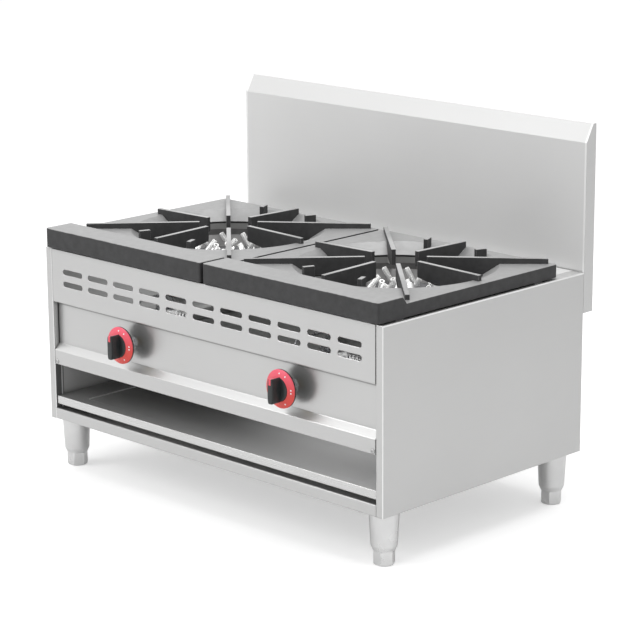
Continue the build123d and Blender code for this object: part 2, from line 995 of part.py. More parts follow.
# Venturis: a bell mouth, a throat and a widening tube that turns up into the burner
elbow_radius = venturi_drop - venturi_flange_height
elbow_y = burner_y - elbow_radius
tube_bore = tube_radius - tube_wall
throat_y = venturi_mouth + throat_length
for name, hand in hands:
    centre = hand * burner_x
    elbow_axis = Axis((centre, elbow_y, venturi_z + elbow_radius), (1, 0, 0))
    with BuildPart() as venturi:
        revolve(
            outline(
                facing_side(centre),
                [
                    (venturi_mouth, venturi_z),
                    (venturi_mouth, venturi_z + mouth_radius),
                    (venturi_mouth + 2 * mouth_thickness, venturi_z + mouth_radius),
                    (throat_y, venturi_z + throat_radius + tube_wall),
                    (throat_y + diffuser_length, venturi_z + tube_radius),
                    (elbow_y, venturi_z + tube_radius),
                    (elbow_y, venturi_z),
                ],
            ),
            axis=fore_aft(centre, venturi_z),
        )
        with BuildSketch(facing_front(elbow_y)):
            with Locations((centre, venturi_z)):
                Circle(tube_radius)
        revolve(axis=elbow_axis, revolution_arc=90)
        with BuildSketch(Plane.XY.offset(burner_base)):
            with Locations((centre, burner_y)):
                Circle(venturi_flange_radius)
        extrude(amount=-venturi_flange_height)
        revolve(
            outline(
                facing_side(centre),
                [
                    (venturi_mouth + mouth_thickness, venturi_z),
                    (venturi_mouth + mouth_thickness, venturi_z + mouth_radius - mouth_thickness),
                    (throat_y, venturi_z + throat_radius),
                    (throat_y + diffuser_length, venturi_z + tube_bore),
                    (elbow_y, venturi_z + tube_bore),
                    (elbow_y, venturi_z),
                ],
            ),
            axis=fore_aft(centre, venturi_z),
            mode=Mode.SUBTRACT,
        )
        with BuildSketch(facing_front(elbow_y)):
            with Locations((centre, venturi_z)):
                Circle(tube_bore)
        revolve(axis=elbow_axis, revolution_arc=90, mode=Mode.SUBTRACT)
        with BuildSketch(Plane.XY.offset(burner_base)):
            with Locations((centre, burner_y)):
                Circle(tube_bore)
        extrude(amount=-venturi_flange_height, mode=Mode.SUBTRACT)
        with BuildSketch(facing_front(venturi_mouth)):
            with Locations((centre, venturi_z)):
                Circle(nose_radius + seam)
                with PolarLocations(air_hole_circle, air_hole_count, start_angle=45):
                    Circle(air_hole_radius)
        extrude(amount=-mouth_thickness, mode=Mode.SUBTRACT)
    venturi.part.label = f"venturi_{name}"
    export_step(venturi.part, f"parts/venturi_{name}.step")

# Air shutters: discs that turn on the injector's nose to cover the mouth's air holes
for name, hand in hands:
    with BuildPart() as air_shutter:
        with BuildSketch(facing_front(shutter_front + shutter_thickness)):
            with Locations((hand * burner_x, venturi_z)):
                Circle(mouth_radius + shutter_margin)
                with Locations((0, -mouth_radius)):
                    Rectangle(shutter_tab_width, 2 * (shutter_tab_reach + shutter_margin))
                Circle(nose_radius + seam, mode=Mode.SUBTRACT)
                with PolarLocations(air_hole_circle, air_hole_count, start_angle=45):
                    Circle(air_hole_radius, mode=Mode.SUBTRACT)
        extrude(amount=shutter_thickness)
    air_shutter.part.label = f"air_shutter_{name}"
    export_step(air_shutter.part, f"parts/air_shutter_{name}.step")

# Injectors: a bent pipe from the valve's outlet to the gas orifice in the venturi's mouth
hex_back = shutter_front - injector_hex_gap
for name, hand in hands:
    centre = hand * burner_x
    with BuildPart() as injector:
        with BuildLine(facing_side(centre)):
            FilletPolyline(
                (outlet_y, outlet_top),
                (outlet_y, venturi_z),
                (hex_back, venturi_z),
                radius=injector_bend,
            )
        with BuildSketch(Plane.XY.offset(outlet_top)):
            with Locations((centre, outlet_y)):
                Circle(injector_pipe_radius)
        sweep()
        with BuildSketch(facing_front(hex_back)):
            with Locations((centre, venturi_z)):
                RegularPolygon(injector_hex_radius, 6)
        extrude(amount=injector_hex_length)
        with BuildSketch(facing_front(hex_back)):
            with Locations((centre, venturi_z)):
                Circle(nose_radius)
        extrude(amount=-nose_length)
        with BuildSketch(facing_front(hex_back + nose_length)):
            with Locations((centre, venturi_z)):
                Circle(orifice_radius)
        extrude(amount=orifice_depth, mode=Mode.SUBTRACT)
    injector.part.label = f"injector_{name}"
    export_step(injector.part, f"parts/injector_{name}.step")

# Gas valves: a body behind the panel, a threaded nose through it and two outlets on top
for name, hand in hands:
    axis_place = (hand * knob_x, knob_z)
    outlet_place = (hand * burner_x, outlet_y)
    with BuildPart() as gas_valve:
        with BuildSketch(facing_front(valve_back)):
            with Locations(axis_place):
                Circle(valve_radius)
        extrude(amount=valve_back - panel_face - sheet)
        with BuildSketch(facing_front(panel_face + sheet)):
            with Locations(axis_place):
                Circle(valve_nose_radius)
        extrude(amount=sheet + valve_nose_reach)
        with BuildSketch(Plane.XY.offset(knob_z)):
            with Locations(outlet_place):
                Circle(outlet_radius)
        extrude(amount=outlet_height)
        with BuildSketch(Plane.XY.offset(knob_z)):
            with Locations((hand * pilot_x, pilot_port_y)):
                Circle(pilot_port_radius)
        extrude(amount=pilot_port_height)
        with BuildSketch(facing_front(panel_face - valve_nose_reach)):
            with Locations(axis_place):
                Circle(stem_radius + stem_clearance)
        extrude(amount=panel_face - valve_nose_reach - chamber_front, mode=Mode.SUBTRACT)
        with BuildSketch(facing_front(chamber_front)):
            with Locations(axis_place):
                Circle(chamber_radius)
        extrude(amount=-chamber_length, mode=Mode.SUBTRACT)
        with BuildSketch(facing_front(valve_back)):
            with Locations(axis_place):
                Circle(valve_port_radius)
        extrude(amount=valve_back - chamber_front - chamber_length, mode=Mode.SUBTRACT)
        with BuildSketch(Plane.XY.offset(outlet_top)):
            with Locations(outlet_place):
                Circle(outlet_bore_radius)
        extrude(amount=-outlet_height, mode=Mode.SUBTRACT)
    gas_valve.part.label = f"gas_valve_{name}"
    export_step(gas_valve.part, f"parts/gas_valve_{name}.step")

# Nuts that clamp the valve noses in the control panel
with BuildPart() as valve_nuts:
    with BuildSketch(facing_front(panel_face)):
        with Locations((-knob_x, knob_z), (knob_x, knob_z)):
            RegularPolygon(nut_radius, 6)
            Circle(valve_nose_radius + seam, mode=Mode.SUBTRACT)
    extrude(amount=nut_thickness)
valve_nuts.part.label = "valve_nuts"
export_step(valve_nuts.part, "parts/valve_nuts.step")

# Valve stems and the sprung plungers that they push open
for name, hand in hands:
    axis_place = (hand * knob_x, knob_z)
    with BuildPart() as valve_stem:
        with BuildSketch(facing_front(collar_back)):
            with Locations(axis_place):
                Circle(collar_radius)
        extrude(amount=collar_thickness)
        with BuildSketch(facing_front(collar_back)):
            with Locations(axis_place):
                Circle(stem_radius)
        extrude(amount=collar_back - knob_front - stem_tip_depth)
    valve_stem.part.label = f"valve_stem_{name}"
    export_step(valve_stem.part, f"parts/valve_stem_{name}.step")

    with BuildPart() as valve_plunger:
        with BuildSketch(facing_front(collar_back + seam)):
            with Locations(axis_place):
                Circle(plunger_radius)
        extrude(amount=-plunger_length)
        with BuildSketch(facing_front(collar_back + seam + plunger_length)):
            with Locations(axis_place):
                Circle(plunger_rod_radius)
        extrude(amount=-plunger_rod_length)
    valve_plunger.part.label = f"valve_plunger_{name}"
    export_step(valve_plunger.part, f"parts/valve_plunger_{name}.step")

# Knobs: a skirt, a hub and a bar grip, with a coloured ring whose pointer runs over the bar
grip_end = knob_z + grip_length / 2
groove_half = pointer_width / 2 + ring_clearance
for name, hand in hands:
    centre = hand * knob_x
    with BuildPart() as knob:
        with BuildSketch(facing_front(knob_back)):
            with Locations((centre, knob_z)):
                Circle(knob_radius)
        extrude(amount=knob_rim)
        with BuildSketch(facing_front(knob_back)):
            with Locations((centre, knob_z)):
                Circle(knob_hub_radius)
        extrude(amount=knob_hub_height)
        with BuildSketch(facing_front(hub_front)):
            with Locations((centre, knob_z)):
                RectangleRounded(grip_width, grip_length, grip_radius)
        extrude(amount=hub_front - knob_front)
        fillet(knob.faces().sort_by(Axis.Y)[0].edges(), grip_edge)
        with BuildSketch(facing_front(rim_front)):
            groove_floor = grip_end - pointer_depth - ring_clearance
            span(centre - groove_half, centre + groove_half, groove_floor, knob_z + knob_radius)
        extrude(amount=rim_front - knob_front, mode=Mode.SUBTRACT)
        with BuildSketch(facing_front(knob_front)):
            groove_floor = grip_end - pointer_length - ring_clearance
            span(centre - groove_half, centre + groove_half, groove_floor, knob_z + knob_radius)
        extrude(amount=-pointer_depth - ring_clearance, mode=Mode.SUBTRACT)
        with BuildSketch(facing_front(knob_back)):
            with Locations((centre, knob_z)):
                Circle(knob_hub_radius - knob_shell)
                Circle(knob_boss_radius, mode=Mode.SUBTRACT)
        extrude(amount=knob_hub_height - knob_shell, mode=Mode.SUBTRACT)
        with BuildSketch(facing_front(knob_back)):
            with Locations((centre, knob_z)):
                Circle(stem_radius + stem_clearance)
        extrude(amount=knob_back - knob_front - stem_tip_depth + seam, mode=Mode.SUBTRACT)
    knob.part.label = f"knob_{name}"
    export_step(knob.part, f"parts/knob_{name}.step")

    with BuildPart() as knob_ring:
        revolve(
            outline(
                facing_side(centre),
                [
                    (rim_front, knob_z + knob_hub_radius + ring_clearance),
                    (rim_front, knob_z + knob_radius),
                    (rim_front - ring_edge, knob_z + knob_radius),
                    (rim_front - ring_height, knob_z + knob_hub_radius + ring_clearance),
                ],
            ),
            axis=fore_aft(centre, knob_z),
        )
        with BuildSketch(facing_front(rim_front)):
            half = pointer_width / 2
            span(centre - half, centre + half, grip_end - pointer_depth, grip_end)
        extrude(amount=rim_front - knob_front)
        with BuildSketch(facing_front(knob_front)):
            span(centre - half, centre + half, grip_end - pointer_length, grip_end)
        extrude(amount=-pointer_depth)
    knob_ring.part.label = f"knob_ring_{name}"
    export_step(knob_ring.part, f"parts/knob_ring_{name}.step")

# Manifold: the pipe behind the panel that feeds both valves, capped at its left end
with BuildPart() as manifold_pipe:
    with BuildSketch(facing_side(-manifold_left)):
        with Locations((manifold_y, knob_z)):
            Circle(pipe_radius)
    extrude(amount=manifold_left + joint_x)
    with BuildSketch(facing_side(-manifold_left)):
        with Locations((manifold_y, knob_z)):
            Circle(cap_radius)
    extrude(amount=cap_length)
    with BuildSketch(facing_front(manifold_y)):
        with Locations((-knob_x, knob_z), (knob_x, knob_z)):
            Circle(boss_radius)
    extrude(amount=manifold_y - valve_back)
    with BuildSketch(facing_side(joint_x)):
        with Locations((manifold_y, knob_z)):
            Circle(pipe_bore_radius)
    extrude(amount=cap_length / 2 - manifold_left - joint_x, mode=Mode.SUBTRACT)
    with BuildSketch(facing_front(manifold_y)):
        with Locations((-knob_x, knob_z), (knob_x, knob_z)):
            Circle(valve_port_radius)
    extrude(amount=manifold_y - valve_back, mode=Mode.SUBTRACT)
manifold_pipe.part.label = "manifold_pipe"
export_step(manifold_pipe.part, "parts/manifold_pipe.step")

# Supply pipe: from a coupling on the manifold, round an elbow and out through the back,
# where its end is turned down for the thread
with BuildPart() as supply_pipe:
    with BuildLine(Plane.XY.offset(knob_z)):
        FilletPolyline(
            (joint_x, manifold_y),
            (supply_x, manifold_y),
            (supply_x, rear + splash_depth - inlet_length),
            radius=supply_bend,
        )
    with BuildSketch(facing_side(joint_x)):
        with Locations((manifold_y, knob_z)):
            Circle(pipe_radius)
            Circle(pipe_bore_radius, mode=Mode.SUBTRACT)
    sweep()
    with BuildSketch(facing_side(joint_x - fitting_length)):
        with Locations((manifold_y, knob_z)):
            Circle(fitting_radius)
            Circle(pipe_radius + seam, mode=Mode.SUBTRACT)
    extrude(amount=fitting_length)
    with BuildSketch(facing_side(joint_x)):
        with Locations((manifold_y, knob_z)):
            Circle(fitting_radius)
            Circle(pipe_bore_radius, mode=Mode.SUBTRACT)
    extrude(amount=supply_stub / 2)
    with BuildSketch(facing_front(rear + splash_depth)):
        with Locations((supply_x, knob_z)):
            Circle(inlet_radius)
            Circle(pipe_bore_radius, mode=Mode.SUBTRACT)
    extrude(amount=inlet_length)
supply_pipe.part.label = "supply_pipe"
export_step(supply_pipe.part, "parts/supply_pipe.step")

# Pilot burners: a tip beside each burner on a bracket, fed by a thin tube from the valve
pilot_bottom = pilot_top - pilot_length
pilot_run = top - pilot_tube_drop
for name, hand in hands:
    with BuildPart() as pilot_burner:
        with BuildLine(facing_side(hand * pilot_x)):
            FilletPolyline(
                (pilot_port_y, knob_z + pilot_port_height),
                (pilot_port_y, pilot_run),
                (pilot_y, pilot_run),
                (pilot_y, pilot_bottom),
                radius=pilot_tube_bend,
            )
        with BuildSketch(Plane.XY.offset(knob_z + pilot_port_height)):
            with Locations((hand * pilot_x, pilot_port_y)):
                Circle(pilot_tube_radius)
        sweep()
        with BuildSketch(Plane.XY.offset(pilot_bottom)):
            with Locations((hand * pilot_x, pilot_y)):
                Circle(pilot_radius)
        extrude(amount=pilot_length)
        with BuildSketch(Plane.XY.offset(top - pilot_bracket_drop)):
            half = pilot_bracket_width / 2
            span(
                hand * pilot_x - half,
                hand * pilot_x + half,
                pilot_y - pilot_radius,
                burner_y - burner_radius - seam,
            )
        extrude(amount=2 * sheet)
    pilot_burner.part.label = f"pilot_burner_{name}"
    export_step(pilot_burner.part, f"parts/pilot_burner_{name}.step")

# Legs: a tapered sleeve with a stud on top and a foot that screws in and out below
sleeve_bottom = foot_height + seam
bore_top = foot_height + foot_screw_length + foot_screw_gap
bore_radius = foot_screw_radius + foot_screw_clearance
for place, x, y in corners:
    with BuildPart() as leg_sleeve:
        revolve(
            outline(
                radial(x, y),
                [
                    (0, bore_top),
                    (bore_radius, bore_top),
                    (bore_radius, sleeve_bottom),
                    (sleeve_step_radius, sleeve_bottom),
                    (sleeve_bottom_radius, sleeve_bottom + sleeve_step_height),
                    (sleeve_top_radius, base),
                    (stud_radius, base),
                    (stud_radius, base + stud_length),
                    (0, base + stud_length),
                ],
            ),
            axis=upright(x, y),
        )
        revolve(
            outline(
                radial(x, y),
                [
                    (sleeve_boss_radius, sleeve_bottom + sleeve_step_height),
                    (sleeve_bottom_radius - sleeve_wall, sleeve_bottom + sleeve_step_height),
                    (sleeve_top_radius - sleeve_wall, base - sleeve_wall),
                    (sleeve_boss_radius, base - sleeve_wall),
                ],
            ),
            axis=upright(x, y),
            mode=Mode.SUBTRACT,
        )
    leg_sleeve.part.label = f"leg_sleeve_{place}"
    export_step(leg_sleeve.part, f"parts/leg_sleeve_{place}.step")

    with BuildPart() as leg_foot:
        with BuildSketch():
            with Locations((x, y)):
                RegularPolygon(foot_radius, 6)
        extrude(amount=foot_height)
        chamfer(leg_foot.faces().sort_by(Axis.Z)[0].edges(), foot_chamfer)
        with BuildSketch(Plane.XY.offset(foot_height)):
            with Locations((x, y)):
                Circle(foot_screw_radius)
        extrude(amount=foot_screw_length)
    leg_foot.part.label = f"leg_foot_{place}"
    export_step(leg_foot.part, f"parts/leg_foot_{place}.step")

# Plates and nuts that clamp the legs' studs to the base flanges
with BuildPart() as leg_plates:
    with BuildSketch(Plane.XY.offset(base + sheet)):
        with Locations(*[(x, y) for place, x, y in corners]):
            Rectangle(leg_plate_width, leg_plate_depth)
            Circle(stud_radius + stud_clearance, mode=Mode.SUBTRACT)
    extrude(amount=leg_plate_thickness)
leg_plates.part.label = "leg_plates"
export_step(leg_plates.part, "parts/leg_plates.step")

with BuildPart() as leg_nuts:
    with BuildSketch(Plane.XY.offset(leg_plate_top)):
        with Locations(*[(x, y) for place, x, y in corners]):
            RegularPolygon(leg_nut_radius, 6)
            Circle(stud_radius + seam, mode=Mode.SUBTRACT)
    extrude(amount=leg_nut_height)
leg_nuts.part.label = "leg_nuts"
export_step(leg_nuts.part, "parts/leg_nuts.step")

# Casing screws: six through the rear flanges and two at the ends of the lip
with BuildPart() as casing_screws:
    with BuildSketch(facing_front(rear)):
        with Locations(*screw_places):
            Circle(screw_head_radius)
    extrude(amount=-screw_head_height)
    with BuildSketch(facing_front(rear)):
        with Locations(*screw_places):
            Circle(screw_radius)
    extrude(amount=screw_length)
    with BuildSketch(facing_front(front)):
        with Locations(*lip_screw_places):
            Circle(screw_head_radius)
    extrude(amount=screw_head_height)
    with BuildSketch(facing_front(front)):
        with Locations(*lip_screw_places):
            Circle(screw_radius)
    extrude(amount=-screw_length)
casing_screws.part.label = "casing_screws"
export_step(casing_screws.part, "parts/casing_screws.step")
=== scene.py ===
"""The looks of a two-burner gas wok range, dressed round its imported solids.

Lengths are in metres, in the frame of the solids: X to the right, Y to the back, Z up from the floor.
Fine shapes are made here from formulas on grids of points: the jets, knobs, dial marks, screws, feet,
threads and coiled tubes.
"""

import json
from math import cos, pi, radians, sin, tau

import bpy
import numpy as np
from bpy.props import FloatProperty, FloatVectorProperty, IntProperty, PointerProperty
from mathutils import Matrix, Vector


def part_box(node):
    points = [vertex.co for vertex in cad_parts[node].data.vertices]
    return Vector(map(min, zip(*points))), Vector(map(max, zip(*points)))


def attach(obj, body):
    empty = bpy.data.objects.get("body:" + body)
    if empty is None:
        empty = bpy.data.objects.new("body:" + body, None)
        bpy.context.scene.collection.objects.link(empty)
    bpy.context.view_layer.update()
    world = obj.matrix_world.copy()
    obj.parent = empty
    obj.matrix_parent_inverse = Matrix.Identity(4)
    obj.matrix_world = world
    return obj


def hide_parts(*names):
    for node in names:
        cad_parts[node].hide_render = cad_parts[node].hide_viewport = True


bl_info = {
    "name": "Gas wok range",
    "version": (1, 0, 0),
    "blender": (4, 5, 0),
    "location": "3D View > Sidebar > Wok range",
    "description": "Finishes and fine parts of a two-burner gas wok range",
    "category": "Object",
}

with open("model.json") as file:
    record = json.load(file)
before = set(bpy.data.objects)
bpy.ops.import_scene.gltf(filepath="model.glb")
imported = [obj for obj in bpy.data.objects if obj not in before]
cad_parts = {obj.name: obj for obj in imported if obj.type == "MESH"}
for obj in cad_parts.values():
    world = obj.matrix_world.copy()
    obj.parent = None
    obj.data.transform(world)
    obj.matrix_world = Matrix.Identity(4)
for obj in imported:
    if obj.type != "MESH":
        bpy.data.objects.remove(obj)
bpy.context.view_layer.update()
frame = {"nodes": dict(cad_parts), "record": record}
parts = frame["nodes"]
sides = ("left", "right")
corners = ("front_left", "front_right", "rear_left", "rear_right")
join_distance = 1e-6
cabinet_middle = (0.0, 0.0, 0.3)
burner_place = (0.227, 0.0125)
lightest = 0.95
# painted shade: the black of the band at the throat's lip
lip_shade_black = (0.008, 0.008, 0.008)


# Grids of points

def unit(vectors):
    """Vectors cut or stretched to a length of 1."""
    return vectors / np.linalg.norm(vectors, axis=-1, keepdims=True)


def angles(count):
    """Equal turns round a circle, as a column."""
    return np.arange(count)[:, None] * tau / count


def capped(rings):
    """Rings of points along a path, and the middles of the first and last ring, which close its ends."""
    ends = rings[[0, -1]].mean(axis=1, keepdims=True) * np.ones_like(rings[:1])
    return np.concatenate([ends[:1], rings, ends[1:]])


def base_of(name):
    """The middle of the foot of a node's box."""
    low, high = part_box(name)
    return np.array([(low.x + high.x) / 2, (low.y + high.y) / 2, low.z])


def grid_faces(rows, columns, closed_rows, closed_columns):
    """Corner numbers of the quads between neighbouring points of a grid, and over its closed seams."""
    row = np.arange(rows if closed_rows else rows - 1)
    column = np.arange(columns if closed_columns else columns - 1)
    row, column = (index.ravel() for index in np.meshgrid(row, column, indexing="ij"))
    next_row = (row + 1) % rows
    next_column = (column + 1) % columns
    corners_of = ((row, column), (next_row, column), (next_row, next_column), (row, next_column))
    return np.stack([line * columns + place for line, place in corners_of], axis=1)


def outward(points, quads):
    """The same quads, turned over where the volume that they enclose, summed from the origin, is below 0."""
    a, b, c, d = (points[quads[:, k]] for k in range(4))
    volume = np.einsum("ij,ij->", a, np.cross(b, c)) + np.einsum("ij,ij->", a, np.cross(c, d))
    return quads[:, ::-1] if volume < 0 else quads


def object_of(name, data, place=None):
    """An object in the scene that holds a mesh, lamp or camera, where a matrix puts it."""
    made = bpy.data.objects.new(name, data)
    if place is not None:
        made.matrix_world = place
    bpy.context.scene.collection.objects.link(made)
    return made


def piece(name, shells, material, body, replaced=(), crease=35):
    """One object from closed shells of points, each (grid or grids, closed rows, closed columns).

    Points at one place become one vertex, so that poles and seams close, and a quad that loses a corner
    becomes a triangle. Edges sharper than the crease angle, in degrees, stay sharp.
    """
    points = []
    quads = []
    start = 0
    for grids, closed_rows, closed_columns in shells:
        grids = np.asarray(grids, float)
        grids = grids.reshape((-1,) + grids.shape[-3:])
        copies, rows, columns = grids.shape[:3]
        faces = outward(grids[0].reshape(-1, 3), grid_faces(rows, columns, closed_rows, closed_columns))
        offsets = start + rows * columns * np.arange(copies)
        quads.append((faces[None] + offsets[:, None, None]).reshape(-1, 4))
        points.append(grids.reshape(-1, 3))
        start += rows * columns * copies
    points = np.concatenate(points)
    quads = np.concatenate(quads)
    keys = np.round(points / join_distance).astype(np.int64)
    first, where = np.unique(keys, axis=0, return_index=True, return_inverse=True)[1:]
    quads = where.reshape(-1)[quads]
    doubled = quads == np.roll(quads, -1, axis=1)
    whole = quads[~doubled.any(axis=1)]
    pinched = doubled.sum(axis=1) == 1
    triangles = quads[pinched][~doubled[pinched]].reshape(-1, 3)
    mesh = bpy.data.meshes.new(name)
    mesh.from_pydata(points[first], [], whole.tolist() + triangles.tolist())
    mesh.update()
    mesh.shade_smooth()
    mesh.set_sharp_from_angle(angle=radians(crease))
    mesh.materials.append(material)
    made = object_of(name, mesh)
    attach(made, body)
    if replaced:
        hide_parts(*replaced)
    return made


def turned(profile, sides_round=48):
    """A profile of (radius, height) points carried round Z: x is r cos t, y is r sin t, z is the height."""
    turn = angles(sides_round)
    radius, height = np.asarray(profile, float).T
    across = np.cos(turn) * radius
    along = np.sin(turn) * radius
    return np.stack([across, along, np.broadcast_to(height, across.shape)], axis=-1)


def hexagonal(profile, corner_radius, sides_round=48):
    """As turned, with each radius cut down to the flat sides of a hexagon: the smaller of the profile's
    radius and corner radius times cos 30 over cos of the angle from the middle of the side."""
    grid = turned(profile, sides_round)
    flat = corner_radius * cos(pi / 6) / np.cos(np.mod(angles(sides_round), pi / 3) - pi / 6)
    radius = np.asarray(profile, float)[:, 0]
    shrink = np.minimum(1, flat / np.maximum(radius, join_distance))
    grid[..., :2] *= shrink[..., None]
    return grid


def ridges(pitches, angle):
    """A screw's ridge: a triangle wave from 0 to 1 of the pitches gone up less the turns gone round."""
    return np.abs(2 * np.mod(pitches - angle / tau, 1) - 1)


def threaded(crest, root, pitch, length, sides_round=36, steps=6):
    """A screw thread round Z from height 0: the radius goes from root to crest and back with the ridges, and
    shrinks to the root at both ends."""
    angle = angles(sides_round)
    rows = int(round(length / pitch * steps)) + 1
    height = np.linspace(0, length, rows)[None]
    fade = np.clip(np.minimum(height, length - height) / pitch, 0, 1)
    radius = root + (crest - root) * ridges(height / pitch, angle) * fade
    radius[:, [0, -1]] = 0
    height = np.broadcast_to(height, radius.shape)
    return np.stack([radius * np.cos(angle), radius * np.sin(angle), height], axis=-1)


def placed(grid, origins, axes):
    """Copies of a grid, each with its Z along an axis and its origin at a place."""
    origins = np.atleast_2d(np.asarray(origins, float))
    axes = unit(np.atleast_2d(np.asarray(axes, float)))
    upright = np.abs(axes[:, 2:]) > 0.9
    helper = np.where(upright, [[0.0, 1.0, 0.0]], [[0.0, 0.0, 1.0]])
    across = unit(np.cross(helper, axes))
    bases = np.stack([across, np.cross(axes, across), axes], axis=1)
    return np.einsum("rcj,kjl->krcl", grid, bases) + origins[:, None, None, :]


def solids_of(name):
    """Boxes of the separate solids of a CAD node: corners at one place are joined, and the lowest number of
    any corner spreads along the triangles until every solid has one number."""
    mesh = parts[name].data
    same_place = 1e-5
    points = np.zeros(len(mesh.vertices) * 3)
    mesh.vertices.foreach_get("co", points)
    points = points.reshape(-1, 3)
    mesh.calc_loop_triangles()
    corners_of = np.zeros(len(mesh.loop_triangles) * 3, int)
    mesh.loop_triangles.foreach_get("vertices", corners_of)
    keys = np.round(points / same_place).astype(np.int64)
    joined = np.unique(keys, axis=0, return_inverse=True)[1].reshape(-1)
    triangles = joined[corners_of].reshape(-1, 3)
    label = np.arange(joined.max() + 1)
    settled = False
    while not settled:
        lowest = label[triangles].min(axis=1)
        spread = label.copy()
        for corner in range(3):
            np.minimum.at(spread, triangles[:, corner], lowest)
        spread = spread[spread]
        settled = np.array_equal(spread, label)
        label = spread
    found = label[joined]
    solids = [points[found == one] for one in np.unique(found)]
    return [(solid.min(axis=0), solid.max(axis=0)) for solid in solids]


# Shader nodes

def add(tree, kind, inputs=(), **properties):
    """A new shader node. An input that is given a socket is linked to it, and any other is set."""
    made = tree.nodes.new(f"ShaderNode{kind}")
    for name, value in properties.items():
        setattr(made, name, value)
    for name, value in dict(inputs).items():
        if isinstance(value, bpy.types.NodeSocket):
            tree.links.new(value, made.inputs[name])
        else:
            made.inputs[name].default_value = value
    return made


def blank(name):
    """A new material, its tree, its shader and the place of a point on the object."""
    material = bpy.data.materials.new(name)
    material.use_nodes = True
    tree = material.node_tree
    return material, tree, tree.nodes["Principled BSDF"], add(tree, "TexCoord").outputs["Object"]


def noise(tree, place, scale, detail=3.0, stretch=None):
    """Noise of that many waves to the metre, stretched by a factor for each axis."""
    if stretch is not None:
        place = add(tree, "Mapping", {"Vector": place, "Scale": stretch}).outputs["Vector"]
    inputs = {"Vector": place, "Scale": scale, "Detail": detail}
    return add(tree, "TexNoise", inputs).outputs["Fac"]


def ranged(tree, value, low, high, to_low=0.0, to_high=1.0):
    """A value between low and high carried to another range, and held at its ends."""
    inputs = {"Value": value, "From Min": low, "From Max": high, "To Min": to_low, "To Max": to_high}
    return add(tree, "MapRange", inputs).outputs["Result"]


def blended(tree, share, first, second):
    """A colour between two colours or colour sockets."""
    inputs = {"Factor": share, 6: first, 7: second}
    return add(tree, "Mix", inputs, data_type="RGBA").outputs[2]


def calculated(tree, operation, first, *others):
    """A function of one number, or the sum or product of several."""
    result = first
    for other in others or (0.0,):
        result = add(tree, "Math", {0: result, 1: other}, operation=operation).outputs[0]
    return result


def colour(values, share=None):
    """A colour as the four numbers of a socket, times a share below white where one is given."""
    if share is not None:
        values = [min(value * share, lightest) for value in values]
    return (*values[:3], 1.0)


def finish(tree, shader, tone, gloss, height, distance, strength, normal=None):
    """Links a surface's colour, roughness and bump. The bump lies on a rounded normal where one is given."""
    inputs = {"Height": height, "Distance": distance, "Strength": strength}
    if normal is not None:
        inputs["Normal"] = normal
    bump = add(tree, "Bump", inputs)
    for name, value in (("Base Color", tone), ("Roughness", gloss), ("Normal", bump.outputs["Normal"])):
        tree.links.new(value, shader.inputs[name])


def facing(tree, axis, normal=None):
    """How far a surface looks along an axis, from -1 to 1."""
    if normal is None:
        normal = add(tree, "NewGeometry").outputs["Normal"]
    return add(tree, "SeparateXYZ", {0: normal}).outputs[axis]


def dotted(tree, first, second):
    """The dot product of two vectors."""
    return add(tree, "VectorMath", {0: first, 1: second}, operation="DOT_PRODUCT").outputs["Value"]


def edges(tree, rounded):
    """Where a rounded normal turns away from the flat one: 1 on an edge, 0 beside it."""
    flat = add(tree, "NewGeometry").outputs["Normal"]
    return ranged(tree, dotted(tree, rounded, flat), 0.8, 0.97, 1.0, 0.0)


def bends(tree, normal):
    """Where a sheet turns the front right or rear left corner of the cabinet, the folds that get a painted
    highlight: X times Y of its normal is well below 0."""
    split = add(tree, "SeparateXYZ", {0: normal}).outputs
    return ranged(tree, calculated(tree, "MULTIPLY", split["X"], split["Y"]), -0.25, -0.1, 1.0, 0.0)


def marked(tree, place, normal, tone, base, marks):
    """A tone with painted highlights and painted shade laid over it as lines and bands. Each mark is the
    axis that its surface looks along, the limits of its box, where |X| is the distance from the middle, and
    its share of the base colour."""
    split = add(tree, "SeparateXYZ", {0: place}).outputs
    along = {axis: split[axis] for axis in "XYZ"}
    along["|X|"] = calculated(tree, "ABSOLUTE", split["X"])
    soft = 0.0004
    for look, limits, share in marks:
        shares = [ranged(tree, calculated(tree, "ABSOLUTE", facing(tree, look, normal)), 0.6, 0.8)]
        for axis, low, high in limits:
            shares.append(ranged(tree, along[axis], low - soft, low))
            shares.append(ranged(tree, along[axis], high, high + soft, 1.0, 0.0))
        tone = blended(tree, calculated(tree, "MULTIPLY", *shares), tone, colour(base, share))
    return tone


# Finishes

